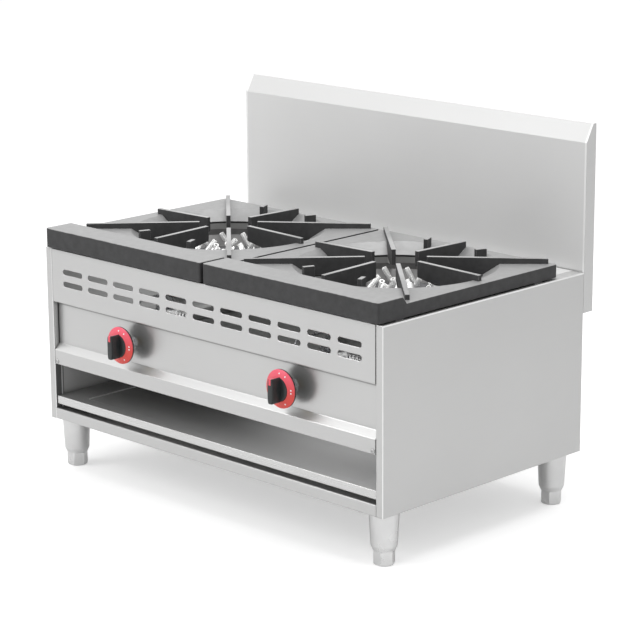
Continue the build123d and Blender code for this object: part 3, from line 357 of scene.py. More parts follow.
def stainless(
    name, base, roughness, edge_radius, metallic=0.85, mill_metallic=0.45, seam=0.012, level=None, marks=()
):
    """Stainless sheet. A face that looks away from the middle of the cabinet is brushed, along X, or along
    Y where it looks sideways. A face that looks back at the middle has the duller mill finish. Corners and
    seams get painted shade within the seam distance, and edges and the front right and rear left folds get
    a painted highlight. Level gives a level face painted light: the base colour times one number at the
    left end and another at the right. Marks of painted shade and painted highlight are laid over it."""
    material, tree, shader, place = blank(name)
    along_grain, across_grain = 9.0, 1500.0
    level_reach = 0.4
    normal = add(tree, "NewGeometry").outputs["Normal"]
    sideways = ranged(tree, calculated(tree, "ABSOLUTE", facing(tree, "X", normal)), 0.6, 0.8)
    grain_x = noise(tree, place, 1.0, 2.0, (along_grain, across_grain, across_grain))
    grain_y = noise(tree, place, 1.0, 2.0, (across_grain, along_grain, across_grain))
    grains = {"Factor": sideways, 2: grain_x, 3: grain_y}
    grain = add(tree, "Mix", grains, data_type="FLOAT").outputs[0]
    clouds = noise(tree, place, 4.0, 2.0)
    tone = calculated(
        tree, "ADD", ranged(tree, clouds, 0.3, 0.7, 0.0, 0.7), ranged(tree, grain, 0.3, 0.7, 0.0, 0.3)
    )
    steel = blended(tree, tone, colour(base, 0.975), colour(base, 1.02))
    # painted light: a level face goes over to the base colour times one share at the left end and another at
    # the right
    if level:
        across = add(tree, "SeparateXYZ", {0: place}).outputs["X"]
        left_to_right = ranged(tree, across, -level_reach, level_reach)
        painted_level_light = blended(tree, left_to_right, *(colour(base, share) for share in level))
        steel = blended(tree, ranged(tree, facing(tree, "Z", normal), 0.75, 0.95), steel, painted_level_light)
    # painted shade: corners and seams go over to 0.42 of the base colour within the seam distance
    open_air = add(tree, "AmbientOcclusion", {"Distance": seam}, samples=4).outputs["AO"]
    steel = blended(tree, ranged(tree, open_air, 0.3, 0.95), colour(base, 0.42), steel)
    rounded = add(tree, "Bevel", {"Radius": edge_radius}, samples=6).outputs["Normal"]
    # painted highlight: edges go over to 1.3 times the base colour
    steel = blended(tree, edges(tree, rounded), steel, colour(base, 1.3))
    # painted shade and painted highlights, laid on as marks
    steel = marked(tree, place, normal, steel, base, marks)
    # painted highlight: the folds at the front right and rear left corners go over to 1.6 times the base
    # colour
    steel = blended(tree, bends(tree, normal), steel, colour(base, 1.6))
    apart = {0: place, 1: cabinet_middle}
    from_middle = add(tree, "VectorMath", apart, operation="SUBTRACT").outputs[0]
    mill = ranged(tree, dotted(tree, from_middle, normal), -0.002, 0.002, 1.0, 0.0)
    gloss = calculated(
        tree, "ADD", ranged(tree, mill, 0.0, 1.0, roughness, roughness + 0.15),
        ranged(tree, clouds, 0.3, 0.7, -0.02, 0.02), ranged(tree, grain, 0.3, 0.7, -0.012, 0.012),
    )
    finish(tree, shader, steel, gloss, grain, 0.000003, 0.25, rounded)
    tree.links.new(ranged(tree, mill, 0.0, 1.0, metallic, mill_metallic), shader.inputs["Metallic"])
    return material


def cast_iron(name, raw, lit_top_and_wear, heated, edge_radius):
    """A bare casting: dark, mottled and pitted as it was cast, and greyed by heat in its throat, within a
    radius of the burner's axis and under a height. Where it looks up it is painted pale, a painted light on
    its tops, and its worn edges take that pale colour too. The throat's lip is painted black, a painted
    shade under the plate's rim, and the ribs' tops get a painted highlight near the middle."""
    material, tree, shader, place = blank(name)
    throat_radius, throat_top, lip_bottom = 0.163, 0.457, 0.4543
    rib_circle, rib_top = 0.213, 0.49
    soft = 0.0005
    rounded = add(tree, "Bevel", {"Radius": edge_radius}, samples=6).outputs["Normal"]
    patches = noise(tree, place, 75.0, 5.0)
    grit = noise(tree, place, 520.0, 3.0)
    mottle = ranged(tree, patches, 0.32, 0.68)
    raw_tone = blended(tree, mottle, colour(raw, 0.86), colour(raw, 1.14))
    # the pale tone of the painted light on the tops
    top_light_tone = blended(tree, mottle, colour(lit_top_and_wear, 0.94), colour(lit_top_and_wear, 1.04))
    split = add(tree, "SeparateXYZ", {0: place}).outputs
    height = split["Z"]
    across = calculated(tree, "SUBTRACT", calculated(tree, "ABSOLUTE", split["X"]), burner_place[0])
    along = calculated(tree, "SUBTRACT", split["Y"], burner_place[1])
    flat_place = add(tree, "CombineXYZ", {"X": across, "Y": along}).outputs[0]
    from_axis = add(tree, "VectorMath", {0: flat_place}, operation="LENGTH").outputs["Value"]
    within = ranged(tree, from_axis, throat_radius - soft, throat_radius + soft, 1.0, 0.0)
    under = ranged(tree, height, throat_top - soft, throat_top + soft, 1.0, 0.0)
    throat = calculated(tree, "MULTIPLY", within, under)
    raw_tone = blended(tree, throat, raw_tone, colour(heated))
    # painted shade: a black band at the throat's lip, just under the plate's rim
    lip = calculated(tree, "MULTIPLY", throat, ranged(tree, height, lip_bottom - soft, lip_bottom + soft))
    raw_tone = blended(tree, lip, raw_tone, colour(lip_shade_black))
    # painted highlight: the ribs' tops near the middle go over to 1.35 times the pale tone
    near = ranged(tree, from_axis, rib_circle - 2 * soft, rib_circle + 2 * soft, 1.0, 0.0)
    rib_top_highlight = calculated(tree, "MULTIPLY", near, ranged(tree, height, rib_top - soft, rib_top + soft))
    top_light_tone = blended(tree, rib_top_highlight, top_light_tone, colour(lit_top_and_wear, 1.35))
    wander = ranged(tree, patches, 0.3, 0.7, -0.12, 0.12)
    upward = calculated(tree, "ADD", facing(tree, "Z", rounded), wander)
    # painted light: faces that look up go over to the pale tone
    share = ranged(tree, upward, 0.3, 0.62)
    casting = blended(tree, share, raw_tone, top_light_tone)
    worn = calculated(tree, "MULTIPLY", edges(tree, rounded), ranged(tree, patches, 0.4, 0.62, 0.2, 1.0))
    casting = blended(tree, worn, casting, colour(lit_top_and_wear))
    pits = calculated(tree, "ADD", grit, calculated(tree, "MULTIPLY", patches, 1.5))
    finish(tree, shader, casting, ranged(tree, share, 0.0, 1.0, 0.62, 0.42), pits, 0.0003, 0.35, rounded)
    shader.inputs["Metallic"].default_value = 0.25
    return material


def worked_metal(name, base, roughness, waves=160.0, depth=0.00004, metallic=1.0):
    """Plated, turned or galvanised metal: a tone and gloss that vary in small patches, and a faint bump."""
    material, tree, shader, place = blank(name)
    patches = noise(tree, place, waves, 3.0)
    fine = noise(tree, place, waves * 7, 2.0)
    tone = blended(tree, ranged(tree, patches, 0.3, 0.7), colour(base, 0.86), colour(base))
    gloss = ranged(tree, patches, 0.3, 0.7, roughness + 0.06, roughness - 0.06)
    finish(tree, shader, tone, gloss, fine, depth, 0.4)
    shader.inputs["Metallic"].default_value = metallic
    return material


def moulded_plastic(name, base, roughness, upper=None, heights=None):
    """Moulded plastic with a fine grain and slight tone variation. Where an upper colour is given, the base
    goes over to it between the two heights, a painted light on the top."""
    material, tree, shader, place = blank(name)
    grain = noise(tree, place, 2600.0, 2.0)
    patches = noise(tree, place, 70.0, 2.0)
    tone = blended(tree, ranged(tree, patches, 0.3, 0.7), colour(base, 0.88), colour(base))
    if upper:
        height = add(tree, "SeparateXYZ", {0: place}).outputs["Z"]
        tone = blended(tree, ranged(tree, height, *heights), tone, colour(upper))
    gloss = ranged(tree, patches, 0.3, 0.7, roughness + 0.05, roughness - 0.03)
    finish(tree, shader, tone, gloss, grain, 0.00003, 0.35)
    return material


def dress(material, *names):
    """Gives CAD nodes that finish."""
    for name in names:
        for slot in parts[name].material_slots:
            slot.material = material


def both(*names):
    """Each name for the left and for the right."""
    return [f"{name}_{side}" for name in names for side in sides]


# Settings

def number(name, description, default, **limits):
    """A plain number."""
    return FloatProperty(name=name, description=description, default=default, **limits)


def degrees(name, description, default):
    """An angle, given in degrees."""
    return number(name, description, radians(default), subtype="ANGLE")


def metres(name, description, default):
    """A length in metres."""
    return number(name, description, default, unit="LENGTH")


def tint(name, description, default):
    """A colour."""
    return FloatVectorProperty(
        name=name, description=description, default=default, subtype="COLOR", min=0, max=1
    )


class StageSettings(bpy.types.PropertyGroup):
    """The camera, the floor and the light."""

    azimuth: degrees("Azimuth", "Camera's turn round the range from its front", 44.614)
    elevation: degrees("Elevation", "Camera's angle above the floor", 14.394)
    roll: degrees("Roll", "Camera's turn round its own view", -0.321)
    distance: metres("Distance", "Camera to its target", 4.672309)
    target: FloatVectorProperty(
        name="Target", description="The point that the camera looks at",
        default=(0.01873, 0.0215, 0.33096), subtype="TRANSLATION",
    )
    lens: number("Lens", "Focal length in millimetres for a sensor 36 mm wide", 135.33)
    floor_size: metres("Floor", "Width of the floor", 30.0)
    floor_colour: tint("Floor colour", "Colour of the floor", (0.8, 0.8, 0.8))
    sky: number("Room light", "Strength of the even light from all round", 0.72)
    key: number("Key light", "Power of the large lamp over the left of the front, in watts", 62.0)
    overhead: number("Overhead light", "Power of the lamp above, in watts", 42.0)
    inside: number("Inside light", "Power of the fill lamp in the burner box, in watts", 0.9)
    shelf: number("Shelf light", "Power of the fill lamp over the drip tray, in watts", 0.4)
    throat: number("Throat light", "Power of the fill lamp over each burner, in watts", 0.14)
    coil: number("Coil light", "Power of the fill lamp before each coiled tube, in watts", 0.014)


class SteelSettings(bpy.types.PropertyGroup):
    """The stainless sheets."""

    tone: tint("Steel colour", "Colour of the stainless sheet", (0.585, 0.585, 0.582))
    splash: tint("Splash colour", "Colour of the tall back sheet", (0.69, 0.69, 0.687))
    tray: tint("Tray colour", "Colour of the drip tray", (0.66, 0.66, 0.656))
    gloss: number("Steel roughness", "Roughness of the brushed face", 0.3, min=0, max=1)
    edge: metres("Edge radius", "How round the folds look", 0.0024)


class CastingSettings(bpy.types.PropertyGroup):
    """The cast grates and burners."""

    raw: tint("Casting colour", "Colour of the casting's skin", (0.047, 0.047, 0.048))
    # painted light: the pale colour of the casting's up-facing faces, which its worn edges share
    lit_top_and_wear: tint("Ground colour", "Colour of the ground tops", (0.375, 0.375, 0.375))
    heated: tint("Throat colour", "Colour of the funnel's throat", (0.36, 0.36, 0.355))
    edge: metres("Casting edge radius", "How round the casting's edges look", 0.0012)


class JetSettings(bpy.types.PropertyGroup):
    """The burner jets."""

    tube: metres("Jet radius", "Outer radius of a jet", 0.0052)
    bore: metres("Jet bore", "Radius of a jet's bore", 0.0029)
    hexagon: metres("Jet hexagon", "Corner radius of a jet's foot", 0.0084)
    length: metres("Jet length", "Length of a jet along its axis", 0.040)
    facets: IntProperty(name="Jet facets", description="Faces round a jet", default=24, min=12)


class KnobSettings(bpy.types.PropertyGroup):
    """The knobs and their dial rings."""

    black: tint("Knob colour", "Colour of the grip and rim", (0.022, 0.026, 0.027))
    red: tint("Ring colour", "Colour of the dial ring", (0.78, 0.07, 0.055))
    # painted light: the dial ring turns pinker towards its top
    painted_light_pink: tint("Ring top colour", "Colour of the dial ring's top", (0.93, 0.12, 0.19))
    mark: metres("Mark radius", "Radius of a dot on the dial ring", 0.0019)


class LegSettings(bpy.types.PropertyGroup):
    """The legs and their screw feet."""

    tone: tint("Leg colour", "Colour of the plated legs", (0.78, 0.78, 0.778))
    pitch: metres("Thread pitch", "Pitch of the feet's thread", 0.002)


# Operators

class RANGE_OT_stage(bpy.types.Operator):
    """Makes the camera, the pale floor, the even room light, two soft lamps and the fill lamps."""

    bl_idname = "wok_range.stage"
    bl_label = "Stage"

    lamp_target = (0.0, 0.0, 0.4)
    # the left end of the casing's inside is lit more than the right
    right_share = 0.4

    def camera(self, stage):
        """The camera, from its angles round its target."""
        azimuth, elevation, roll = stage.azimuth, stage.elevation, stage.roll
        back = Vector((sin(azimuth) * cos(elevation), -cos(azimuth) * cos(elevation), sin(elevation)))
        right = Vector((cos(azimuth), sin(azimuth), 0))
        up = back.cross(right)
        axes = Matrix((right * cos(roll) + up * sin(roll), up * cos(roll) - right * sin(roll), back))
        camera = bpy.data.cameras.new("camera")
        camera.sensor_width = 36
        camera.lens = stage.lens
        camera.clip_end = 100
        place = Matrix.Translation(Vector(stage.target) + back * stage.distance)
        bpy.context.scene.camera = object_of("camera", camera, place @ axes.transposed().to_4x4())

    def floor(self, stage):
        """A pale floor that looks nearly white and keeps the shadow."""
        half = stage.floor_size / 2
        mesh = bpy.data.meshes.new("floor")
        outline = [(-half, -half, 0), (half, -half, 0), (half, half, 0), (-half, half, 0)]
        mesh.from_pydata(outline, [], [(0, 1, 2, 3)])
        material, tree, shader = blank("pale_floor")[:3]
        shader.inputs["Base Color"].default_value = colour(stage.floor_colour)
        shader.inputs["Roughness"].default_value = 0.9
        shader.inputs["Specular IOR Level"].default_value = 0.1
        shader.inputs["Emission Color"].default_value = (1, 1, 1, 1)
        rays = add(tree, "LightPath").outputs
        seen = calculated(tree, "MULTIPLY", rays["Is Camera Ray"], 0.42)
        mirrored = calculated(tree, "MULTIPLY", rays["Is Glossy Ray"], 0.1)
        tree.links.new(calculated(tree, "ADD", seen, mirrored), shader.inputs["Emission Strength"])
        mesh.materials.append(material)
        floor = object_of("floor", mesh)

    def room(self, stage):
        """Even light from all round, which the camera, metal and glass see as white."""
        world = bpy.data.worlds.new("room")
        world.use_nodes = True
        bpy.context.scene.world = world
        tree = world.node_tree
        rays = add(tree, "LightPath").outputs
        seen = calculated(
            tree, "MAXIMUM", rays["Is Camera Ray"], rays["Is Glossy Ray"], rays["Is Transmission Ray"]
        )
        background = tree.nodes["Background"].inputs
        background["Color"].default_value = (1, 1, 1, 1)
        tree.links.new(ranged(tree, seen, 0, 1, stage.sky, 1.0), background["Strength"])

    def lamp(self, name, place, size, power, turn):
        """A soft round lamp that shines down its own Z."""
        lamp = bpy.data.lights.new(name, "AREA")
        lamp.shape = "ELLIPSE"
        lamp.size, lamp.size_y = size
        lamp.energy = power
        return object_of(name, lamp, Matrix.Translation(place) @ turn)

    def execute(self, context):
        stage = context.scene.range_stage
        self.camera(stage)
        self.floor(stage)
        self.room(stage)
        for name, place, size, power in (
            ("key_lamp", (-2.2, -3.4, 3.2), (2.6, 2.6), stage.key),
            ("overhead_lamp", (0.4, 0.2, 3.4), (2.4, 2.4), stage.overhead),
        ):
            aim = Vector(place) - Vector(self.lamp_target)
            self.lamp(name, place, size, power, aim.to_track_quat("Z", "Y").to_matrix().to_4x4())
        across, along = burner_place
        dim = stage.inside * self.right_share
        for name, place, size, power, turn in (
            ("inside_lamp_left", (-0.2, 0.005, 0.235), (0.44, 0.5), stage.inside, pi),
            ("inside_lamp_right", (0.26, 0.005, 0.235), (0.34, 0.5), dim, pi),
            ("shelf_lamp", (0.17, 0.03, 0.2255), (0.46, 0.44), stage.shelf, 0),
            ("throat_lamp_left", (-across, along, 0.4565), (0.24, 0.24), stage.throat, 0),
            ("throat_lamp_right", (across, along, 0.4565), (0.24, 0.24), stage.throat, 0),
            ("coil_lamp_left", (0.081 - across, -0.229, 0.353), (0.07, 0.02), stage.coil, pi / 2),
            ("coil_lamp_right", (0.081 + across, -0.229, 0.353), (0.07, 0.02), stage.coil, pi / 2),
        ):
            hidden = self.lamp(name, place, size, power, Matrix.Rotation(turn, 4, "X"))
            hidden.visible_camera = False
            hidden.visible_glossy = False
        context.scene.view_settings.view_transform = "Standard"
        return {"FINISHED"}


class RANGE_OT_sheets(bpy.types.Operator):
    """Gives every stainless sheet its finish, with painted shade and painted highlights, and each burner
    bowl a thin upturned collar.
    """

    bl_idname = "wok_range.sheets"
    bl_label = "Stainless sheets"

    # how much brighter level faces are at the left and right ends: painted light on the tops
    level = (1.15, 1.2)
    duller = 0.08
    # the collar's inner and outer radius, its foot, the top of its bevel and its top
    collar = (0.1604, 0.1612, 0.4298, 0.4306, 0.4425)

    def execute(self, context):
        steel = context.scene.range_steel
        tone, gloss, edge, level = steel.tone, steel.gloss, steel.edge, self.level
        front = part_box("side_panel_left")[0].y
        stile = ("|X|", 0.439, 0.4425)
        liner = ("|X|", 0.444, 0.447)
        # painted highlight on the side panel's top fold, and painted shade down the stile's returns
        stile_highlight_and_shade = (
            ("X", (("|X|", 0.4555, 0.458), ("Z", 0.4482, 0.452)), 1.5),
            ("X", (stile, ("Y", front - 0.001, front + 0.0018)), 0.2),
            ("X", (stile, ("Y", front + 0.0112, front + 0.016), ("Z", 0.214, 0.344)), 0.22),
            ("X", (stile, ("Y", front - 0.001, front + 0.016), ("Z", 0.1, 0.2145)), 0.3),
        )
        # painted shade at the vent panel's ends, much darker at the right end than the left
        vent_end_shade = (
            ("Y", (("X", 0.4388, 0.45),), 0.12),
            ("Y", (("X", -0.45, -0.4392),), 0.6),
        )
        # painted shade at the control panel's ends and in the groove under the vent panel, and a painted
        # highlight on the ledge's top
        ledge_highlight_and_shade = (
            ("Y", (("|X|", 0.4389, 0.45),), 0.15),
            ("Z", (("Z", 0.2425, 0.2568),), 1.35),
            ("Z", (("|X|", 0.4385, 0.45),), 0.3),
            ("Y", (("Z", 0.3362, 0.36),), 0.55),
        )
        # painted shadow on the base rail's top, under the drip tray
        rail_top_shadow = (("Z", (("Y", front + 0.003, front + 0.03),), 0.22),)
        # a painted highlight and, behind it, painted shade down the liner's front fold
        liner_highlight_and_shade = (
            ("X", (liner, ("Y", front + 0.015, front + 0.0222)), 1.5),
            ("X", (liner, ("Y", front + 0.0226, front + 0.0248)), 0.35),
        )
        # painted shade on the backsplash's bevel and side edge, and a painted highlight on its front ends
        splash_shade_and_highlight = (
            ("Y", (("Z", 0.6985, 0.74),), 0.9),
            ("X", (("|X|", 0.4555, 0.4575),), 0.91),
            ("Y", (("|X|", 0.4528, 0.4575),), 1.22),
        )
        # a painted highlight on the wall of the tray's step
        tray_step_highlight = (("X", (("|X|", 0.376, 0.379),), 1.4),)
        dress(
            stainless("brushed_stainless", tone, gloss, edge, level=level),
            "base_rail_rear", "back_panel", "burner_deck", "grate_rail", "backsplash_cover",
            "backsplash_brackets", "burner_bars", "leg_plates",
        )
        side = stainless("side_panel_stainless", tone, gloss, edge, level=level, marks=stile_highlight_and_shade)
        dress(side, *both("side_panel"))
        vent = stainless("vent_panel_stainless", tone, gloss, edge, level=level, marks=vent_end_shade)
        dress(vent, "vent_panel")
        control = stainless("control_panel_stainless", tone, gloss, edge, marks=ledge_highlight_and_shade)
        dress(control, "control_panel")
        dress(stainless("rail_stainless", tone, gloss, edge, marks=rail_top_shadow), "base_rail_front")
        mill = stainless("mill_stainless", tone, gloss + self.duller, edge, 0.4, 0.3, marks=liner_highlight_and_shade)
        dress(mill, "tray_runners", *both("liner"))
        # painted shade: the heat shield's top goes darker, most of all at the right
        shield = stainless("heat_shield_stainless", tone, gloss + self.duller, edge, 0.4, 0.3, level=(0.8, 0.5))
        dress(shield, "heat_shield")
        # painted light: level faces of the backsplash and rear deck are lighter, more so at the right
        splash = stainless(
            "splash_stainless", steel.splash, gloss + 0.02, edge, 0.4, 0.3, 0.004, (1.2, 1.3), splash_shade_and_highlight
        )
        dress(splash, "backsplash", "rear_deck")
        # painted light: the tray's floor is dark at the left and light at the right
        tray = stainless(
            "tray_stainless", steel.tray, gloss - 0.04, edge, 0.8, 0.6, 0.004, (0.5, 1.45), tray_step_highlight
        )
        dress(tray, "drip_tray")
        sooted = worked_metal("sooted_bowl_steel", (0.17, 0.168, 0.166), 0.45, 45.0, 0.00002, 0.4)
        inner, outer, foot, bevel_top, top = self.collar
        collar = turned([(inner, foot), (outer, bevel_top), (outer, top), (inner, top)], 96)
        dress(sooted, *both("burner_bowl"))
        for side_name in sides:
            shells = [(collar + base_of(f"burner_bowl_{side_name}") * [1, 1, 0], True, True)]
            piece(f"bowl_collar_{side_name}", shells, sooted, "root")
        return {"FINISHED"}


class RANGE_OT_castings(bpy.types.Operator):
    """Gives the top grates, burner bodies and venturis their cast finish, with painted light on the grates'
    tops.
    """

    bl_idname = "wok_range.castings"
    bl_label = "Castings"

    def execute(self, context):
        casting = context.scene.range_casting
        top = cast_iron("cast_iron_painted_top_light", casting.raw, casting.lit_top_and_wear, casting.heated, casting.edge)
        dress(top, *both("grate"))
        burner = worked_metal("grey_cast_iron", (0.16, 0.16, 0.165), 0.6, 90.0, 0.0003, 0.5)
        dress(burner, *both("burner_body"))
        mixer = worked_metal("cast_aluminium", (0.58, 0.58, 0.575), 0.45, 150.0, 0.0001, 0.6)
        dress(mixer, *both("venturi"))
        return {"FINISHED"}


class RANGE_OT_jets(bpy.types.Operator):
    """Makes the burner jets: turned tubes on hexagon feet. The feet stand square on the crown's steps, and
    the tubes lean in to the middle of the flame and round it, each ring the other way."""

    bl_idname = "wok_range.jets"
    bl_label = "Burner jets"

    # each ring's count, radius, seat's tilt and height over the burner's base, its tubes' tilt, and their
    # turn from inwards
    rings = (
        (16, 0.115, radians(40), 0.036, radians(28), radians(75)),
        (10, 0.078, radians(32), 0.036, radians(40), radians(-60)),
        (6, 0.042, radians(20), 0.034, radians(30), radians(35)),
    )
    seat_gap = 0.00035
    tube_start = 0.003

    def execute(self, context):
        jet = context.scene.range_jets
        bright = worked_metal("turned_jet_metal", (0.96, 0.96, 0.95), 0.22, 300.0, 0.00002, 0.55)
        tube, bore, tall = jet.tube, jet.bore, jet.length
        bevel = 0.0006
        groove = 0.0007
        barrel = turned(
            [
                (0, 0), (tube - groove, 0), (tube - groove, 0.0085), (tube, 0.0092),
                (tube, 0.021), (tube - groove / 2, 0.0214), (tube - groove / 2, 0.0226), (tube, 0.023),
                (tube, tall - 0.0012), (tube - bevel, tall), (bore + bevel, tall), (bore, tall - bevel),
                (bore, 0.014), (0, 0.0128),
            ],
            jet.facets,
        )
        foot = hexagonal(
            [(0, 0), (jet.hexagon, 0), (jet.hexagon, 0.0078), (jet.hexagon * 0.93, 0.009), (0, 0.009)],
            jet.hexagon,
            24,
        )
        for side in sides:
            base = base_of(f"burner_body_{side}")
            shells = []
            for count, radius, tilt, height, lean, swirl in self.rings:
                turn = angles(count)
                outwards = np.concatenate([np.cos(turn), np.sin(turn), 0 * turn], axis=1)
                round_axis = np.concatenate([-np.sin(turn), np.cos(turn), 0 * turn], axis=1)
                axis = np.array([0, 0, cos(tilt)]) - outwards * sin(tilt)
                places = base + [0, 0, height] + outwards * radius + axis * self.seat_gap
                sideways = round_axis * sin(swirl) - outwards * cos(swirl)
                tubes = np.array([0, 0, cos(lean)]) + sideways * sin(lean)
                shells.append((placed(foot, places, axis), True, False))
                shells.append((placed(barrel, places + axis * self.tube_start, tubes), True, False))
            piece(f"jets_{side}", shells, bright, "root", [f"burner_jets_{side}"])
        return {"FINISHED"}


class RANGE_OT_knobs(bpy.types.Operator):
    """Makes the knobs: a black rim, hub and grip, the red dial ring with its pointer, and the white dots."""

    bl_idname = "wok_range.knobs"
    bl_label = "Knobs"

    rim_radius = 0.0363
    hub_radius = 0.0222
    rim_height = 0.003
    hub_height = 0.011
    grip_half_width = 0.0065
    grip_half_length = 0.0235
    grip_height = 0.0317
    pointer_height = 0.032
    pointer_half_width = 0.0027
    mark_radius_out = 0.0296
    # the dial ring's cone starts that high over the rim and rises by that much
    ring_foot = 0.002
    ring_rise = 0.005
    # clockwise from the top, as seen from the front, and how many dots
    marks = ((0, 1), (30, 1), (90, 2), (150, 1))

    def grip(self):
        """A bar of superellipse section, |x/a|^6 + |y/b|^4 = 1, whose a and b shrink in a quarter round to
        its end."""
        turn = angles(96)
        across = np.sign(np.cos(turn)) * np.abs(np.cos(turn)) ** (2 / 6)
        along = np.sign(np.sin(turn)) * np.abs(np.sin(turn)) ** (2 / 4)
        quarter = np.linspace(0, pi / 2, 7)
        edge = 0.0018
        inset = np.concatenate([[0], edge * (1 - np.cos(quarter))])
        height = np.concatenate([[self.rim_height], self.grip_height - edge + edge * np.sin(quarter)])
        x = across * (self.grip_half_width - inset)
        y = along * (self.grip_half_length - inset)
        body = np.stack([x, y, np.broadcast_to(height, x.shape)], axis=-1)
        foot = body[:, :1] * [0, 0, 1]
        end = body[:, -1:] * [0, 0, 1]
        return np.concatenate([foot, body, end], axis=1)

    def pointer(self):
        """A flat strip with rounded sides, carried up the end of the grip and over its front."""
        top = self.grip_half_length
        face = self.pointer_height
        bend = 0.0014
        quarter = np.linspace(0, pi / 2, 6)
        corner = np.stack([top - bend * (1 - np.cos(quarter)), face - bend * (1 - np.sin(quarter))], axis=1)
        path = np.concatenate([[[top, 0.004]], corner, [[top - 0.0115, face]]])
        step = unit(np.gradient(path, axis=0))
        inward = np.stack([-step[:, 1], step[:, 0]], axis=1)
        half = self.pointer_half_width
        flat, bevel, thick = half * 0.85, 0.0002, 0.0013
        section = np.array(
            [(-half, bevel), (-flat, 0), (flat, 0), (half, bevel), (half, thick), (-half, thick)]
        )
        ring = path[:, None] + inward[:, None] * section[None, :, 1:]
        across = np.broadcast_to(section[None, :, 0], ring.shape[:2])
        return capped(np.stack([across, ring[..., 0], ring[..., 1]], axis=-1))

    def dots(self, mark):
        """Shallow domes on the dial ring's cone: rings of points round a middle, lifted by one less the
        square of their distance from it."""
        width = self.rim_radius - self.hub_radius
        slope = np.arctan2(self.ring_rise, width)
        fall = (self.rim_radius - self.mark_radius_out) / width
        share = np.linspace(0, 1, 5)
        turn = angles(20)
        sunk = 0.0003
        height = 0.0001 + 0.00022 * (1 - share ** 2)
        height[-1] = -sunk
        shells = []
        for angle, count in self.marks:
            offsets = (np.arange(count) - (count - 1) / 2) * mark * 2.9
            for offset in offsets:
                round_angle = radians(angle) + offset / self.mark_radius_out
                out = np.array([sin(round_angle), cos(round_angle), 0])
                tangent = np.array([cos(round_angle), -sin(round_angle), 0])
                normal = out * sin(slope) + np.array([0, 0, cos(slope)])
                uphill = np.cross(normal, tangent)
                lift = self.rim_height + self.ring_foot + self.ring_rise * fall
                middle = out * self.mark_radius_out + np.array([0, 0, lift])
                around = (np.cos(turn) * tangent + np.sin(turn) * uphill)[:, None]
                dome = middle + around * (mark * share)[:, None] + normal * height[:, None]
                bottom = np.broadcast_to(middle - normal * sunk, (len(turn), 1, 3))
                shells.append(np.concatenate([dome, bottom], axis=1))
        return np.array(shells)

    def facing_forward(self, grid, place):
        """A grid whose Z is the knob's axis and whose Y is up, set at the knob's back."""
        grid = np.asarray(grid, float)
        return np.stack([grid[..., 0], -grid[..., 2], grid[..., 1]], axis=-1) + np.array(place)

    def execute(self, context):
        knob = context.scene.range_knobs
        black = moulded_plastic("black_knob_plastic", knob.black, 0.33)
        # painted light: the red ring goes pink towards its top
        red = moulded_plastic("red_ring_plastic", knob.red, 0.3, knob.painted_light_pink, (0.285, 0.33))
        white = moulded_plastic("white_mark_enamel", (0.96, 0.96, 0.96), 0.35)
        rim, hub = self.rim_radius, self.hub_radius
        rim_top, hub_top = self.rim_height, self.hub_height
        soft = 0.0005
        wheel = turned(
            [
                (0, 0.001), (0.008, 0.001), (0.008, 0.0085), (0.0203, 0.0085), (0.0203, soft), (0.0208, 0),
                (rim - soft, 0), (rim, soft), (rim, rim_top - soft), (rim - soft, rim_top), (hub, rim_top),
                (hub, hub_top - 0.0016), (hub - soft, hub_top - soft), (hub - 0.0016, hub_top),
                (0, hub_top),
            ],
            96,
        )
        base = rim_top + 0.00005
        ring = turned(
            [
                (hub + 0.0002, base), (rim - 0.0004, base), (rim, base + 0.0004), (rim, base + 0.0014),
                (rim - 0.0005, base + 0.0020), (rim - 0.0012, base + 0.00235), (hub + 0.0008, base + 0.0068),
                (hub + 0.0002, base + 0.0066),
            ],
            96,
        )
        for side in sides:
            body = f"knob_{side}"
            low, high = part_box(f"knob_{side}")
            place = ((low.x + high.x) / 2, high.y, (low.z + high.z) / 2)
            wheel_set, grip_set, ring_set, pointer_set, marks_set = (
                self.facing_forward(shape, place)
                for shape in (wheel, self.grip(), ring, self.pointer(), self.dots(knob.mark))
            )
            grips = [(wheel_set, True, False), (grip_set, True, False)]
            piece(f"knob_body_{side}", grips, black, body, [f"knob_{side}"])
            dial = [(ring_set, True, True), (pointer_set, False, True)]
            piece(f"knob_dial_{side}", dial, red, body, [f"knob_ring_{side}"])
            piece(f"knob_marks_{side}", [(marks_set, True, False)], white, body)
        return {"FINISHED"}


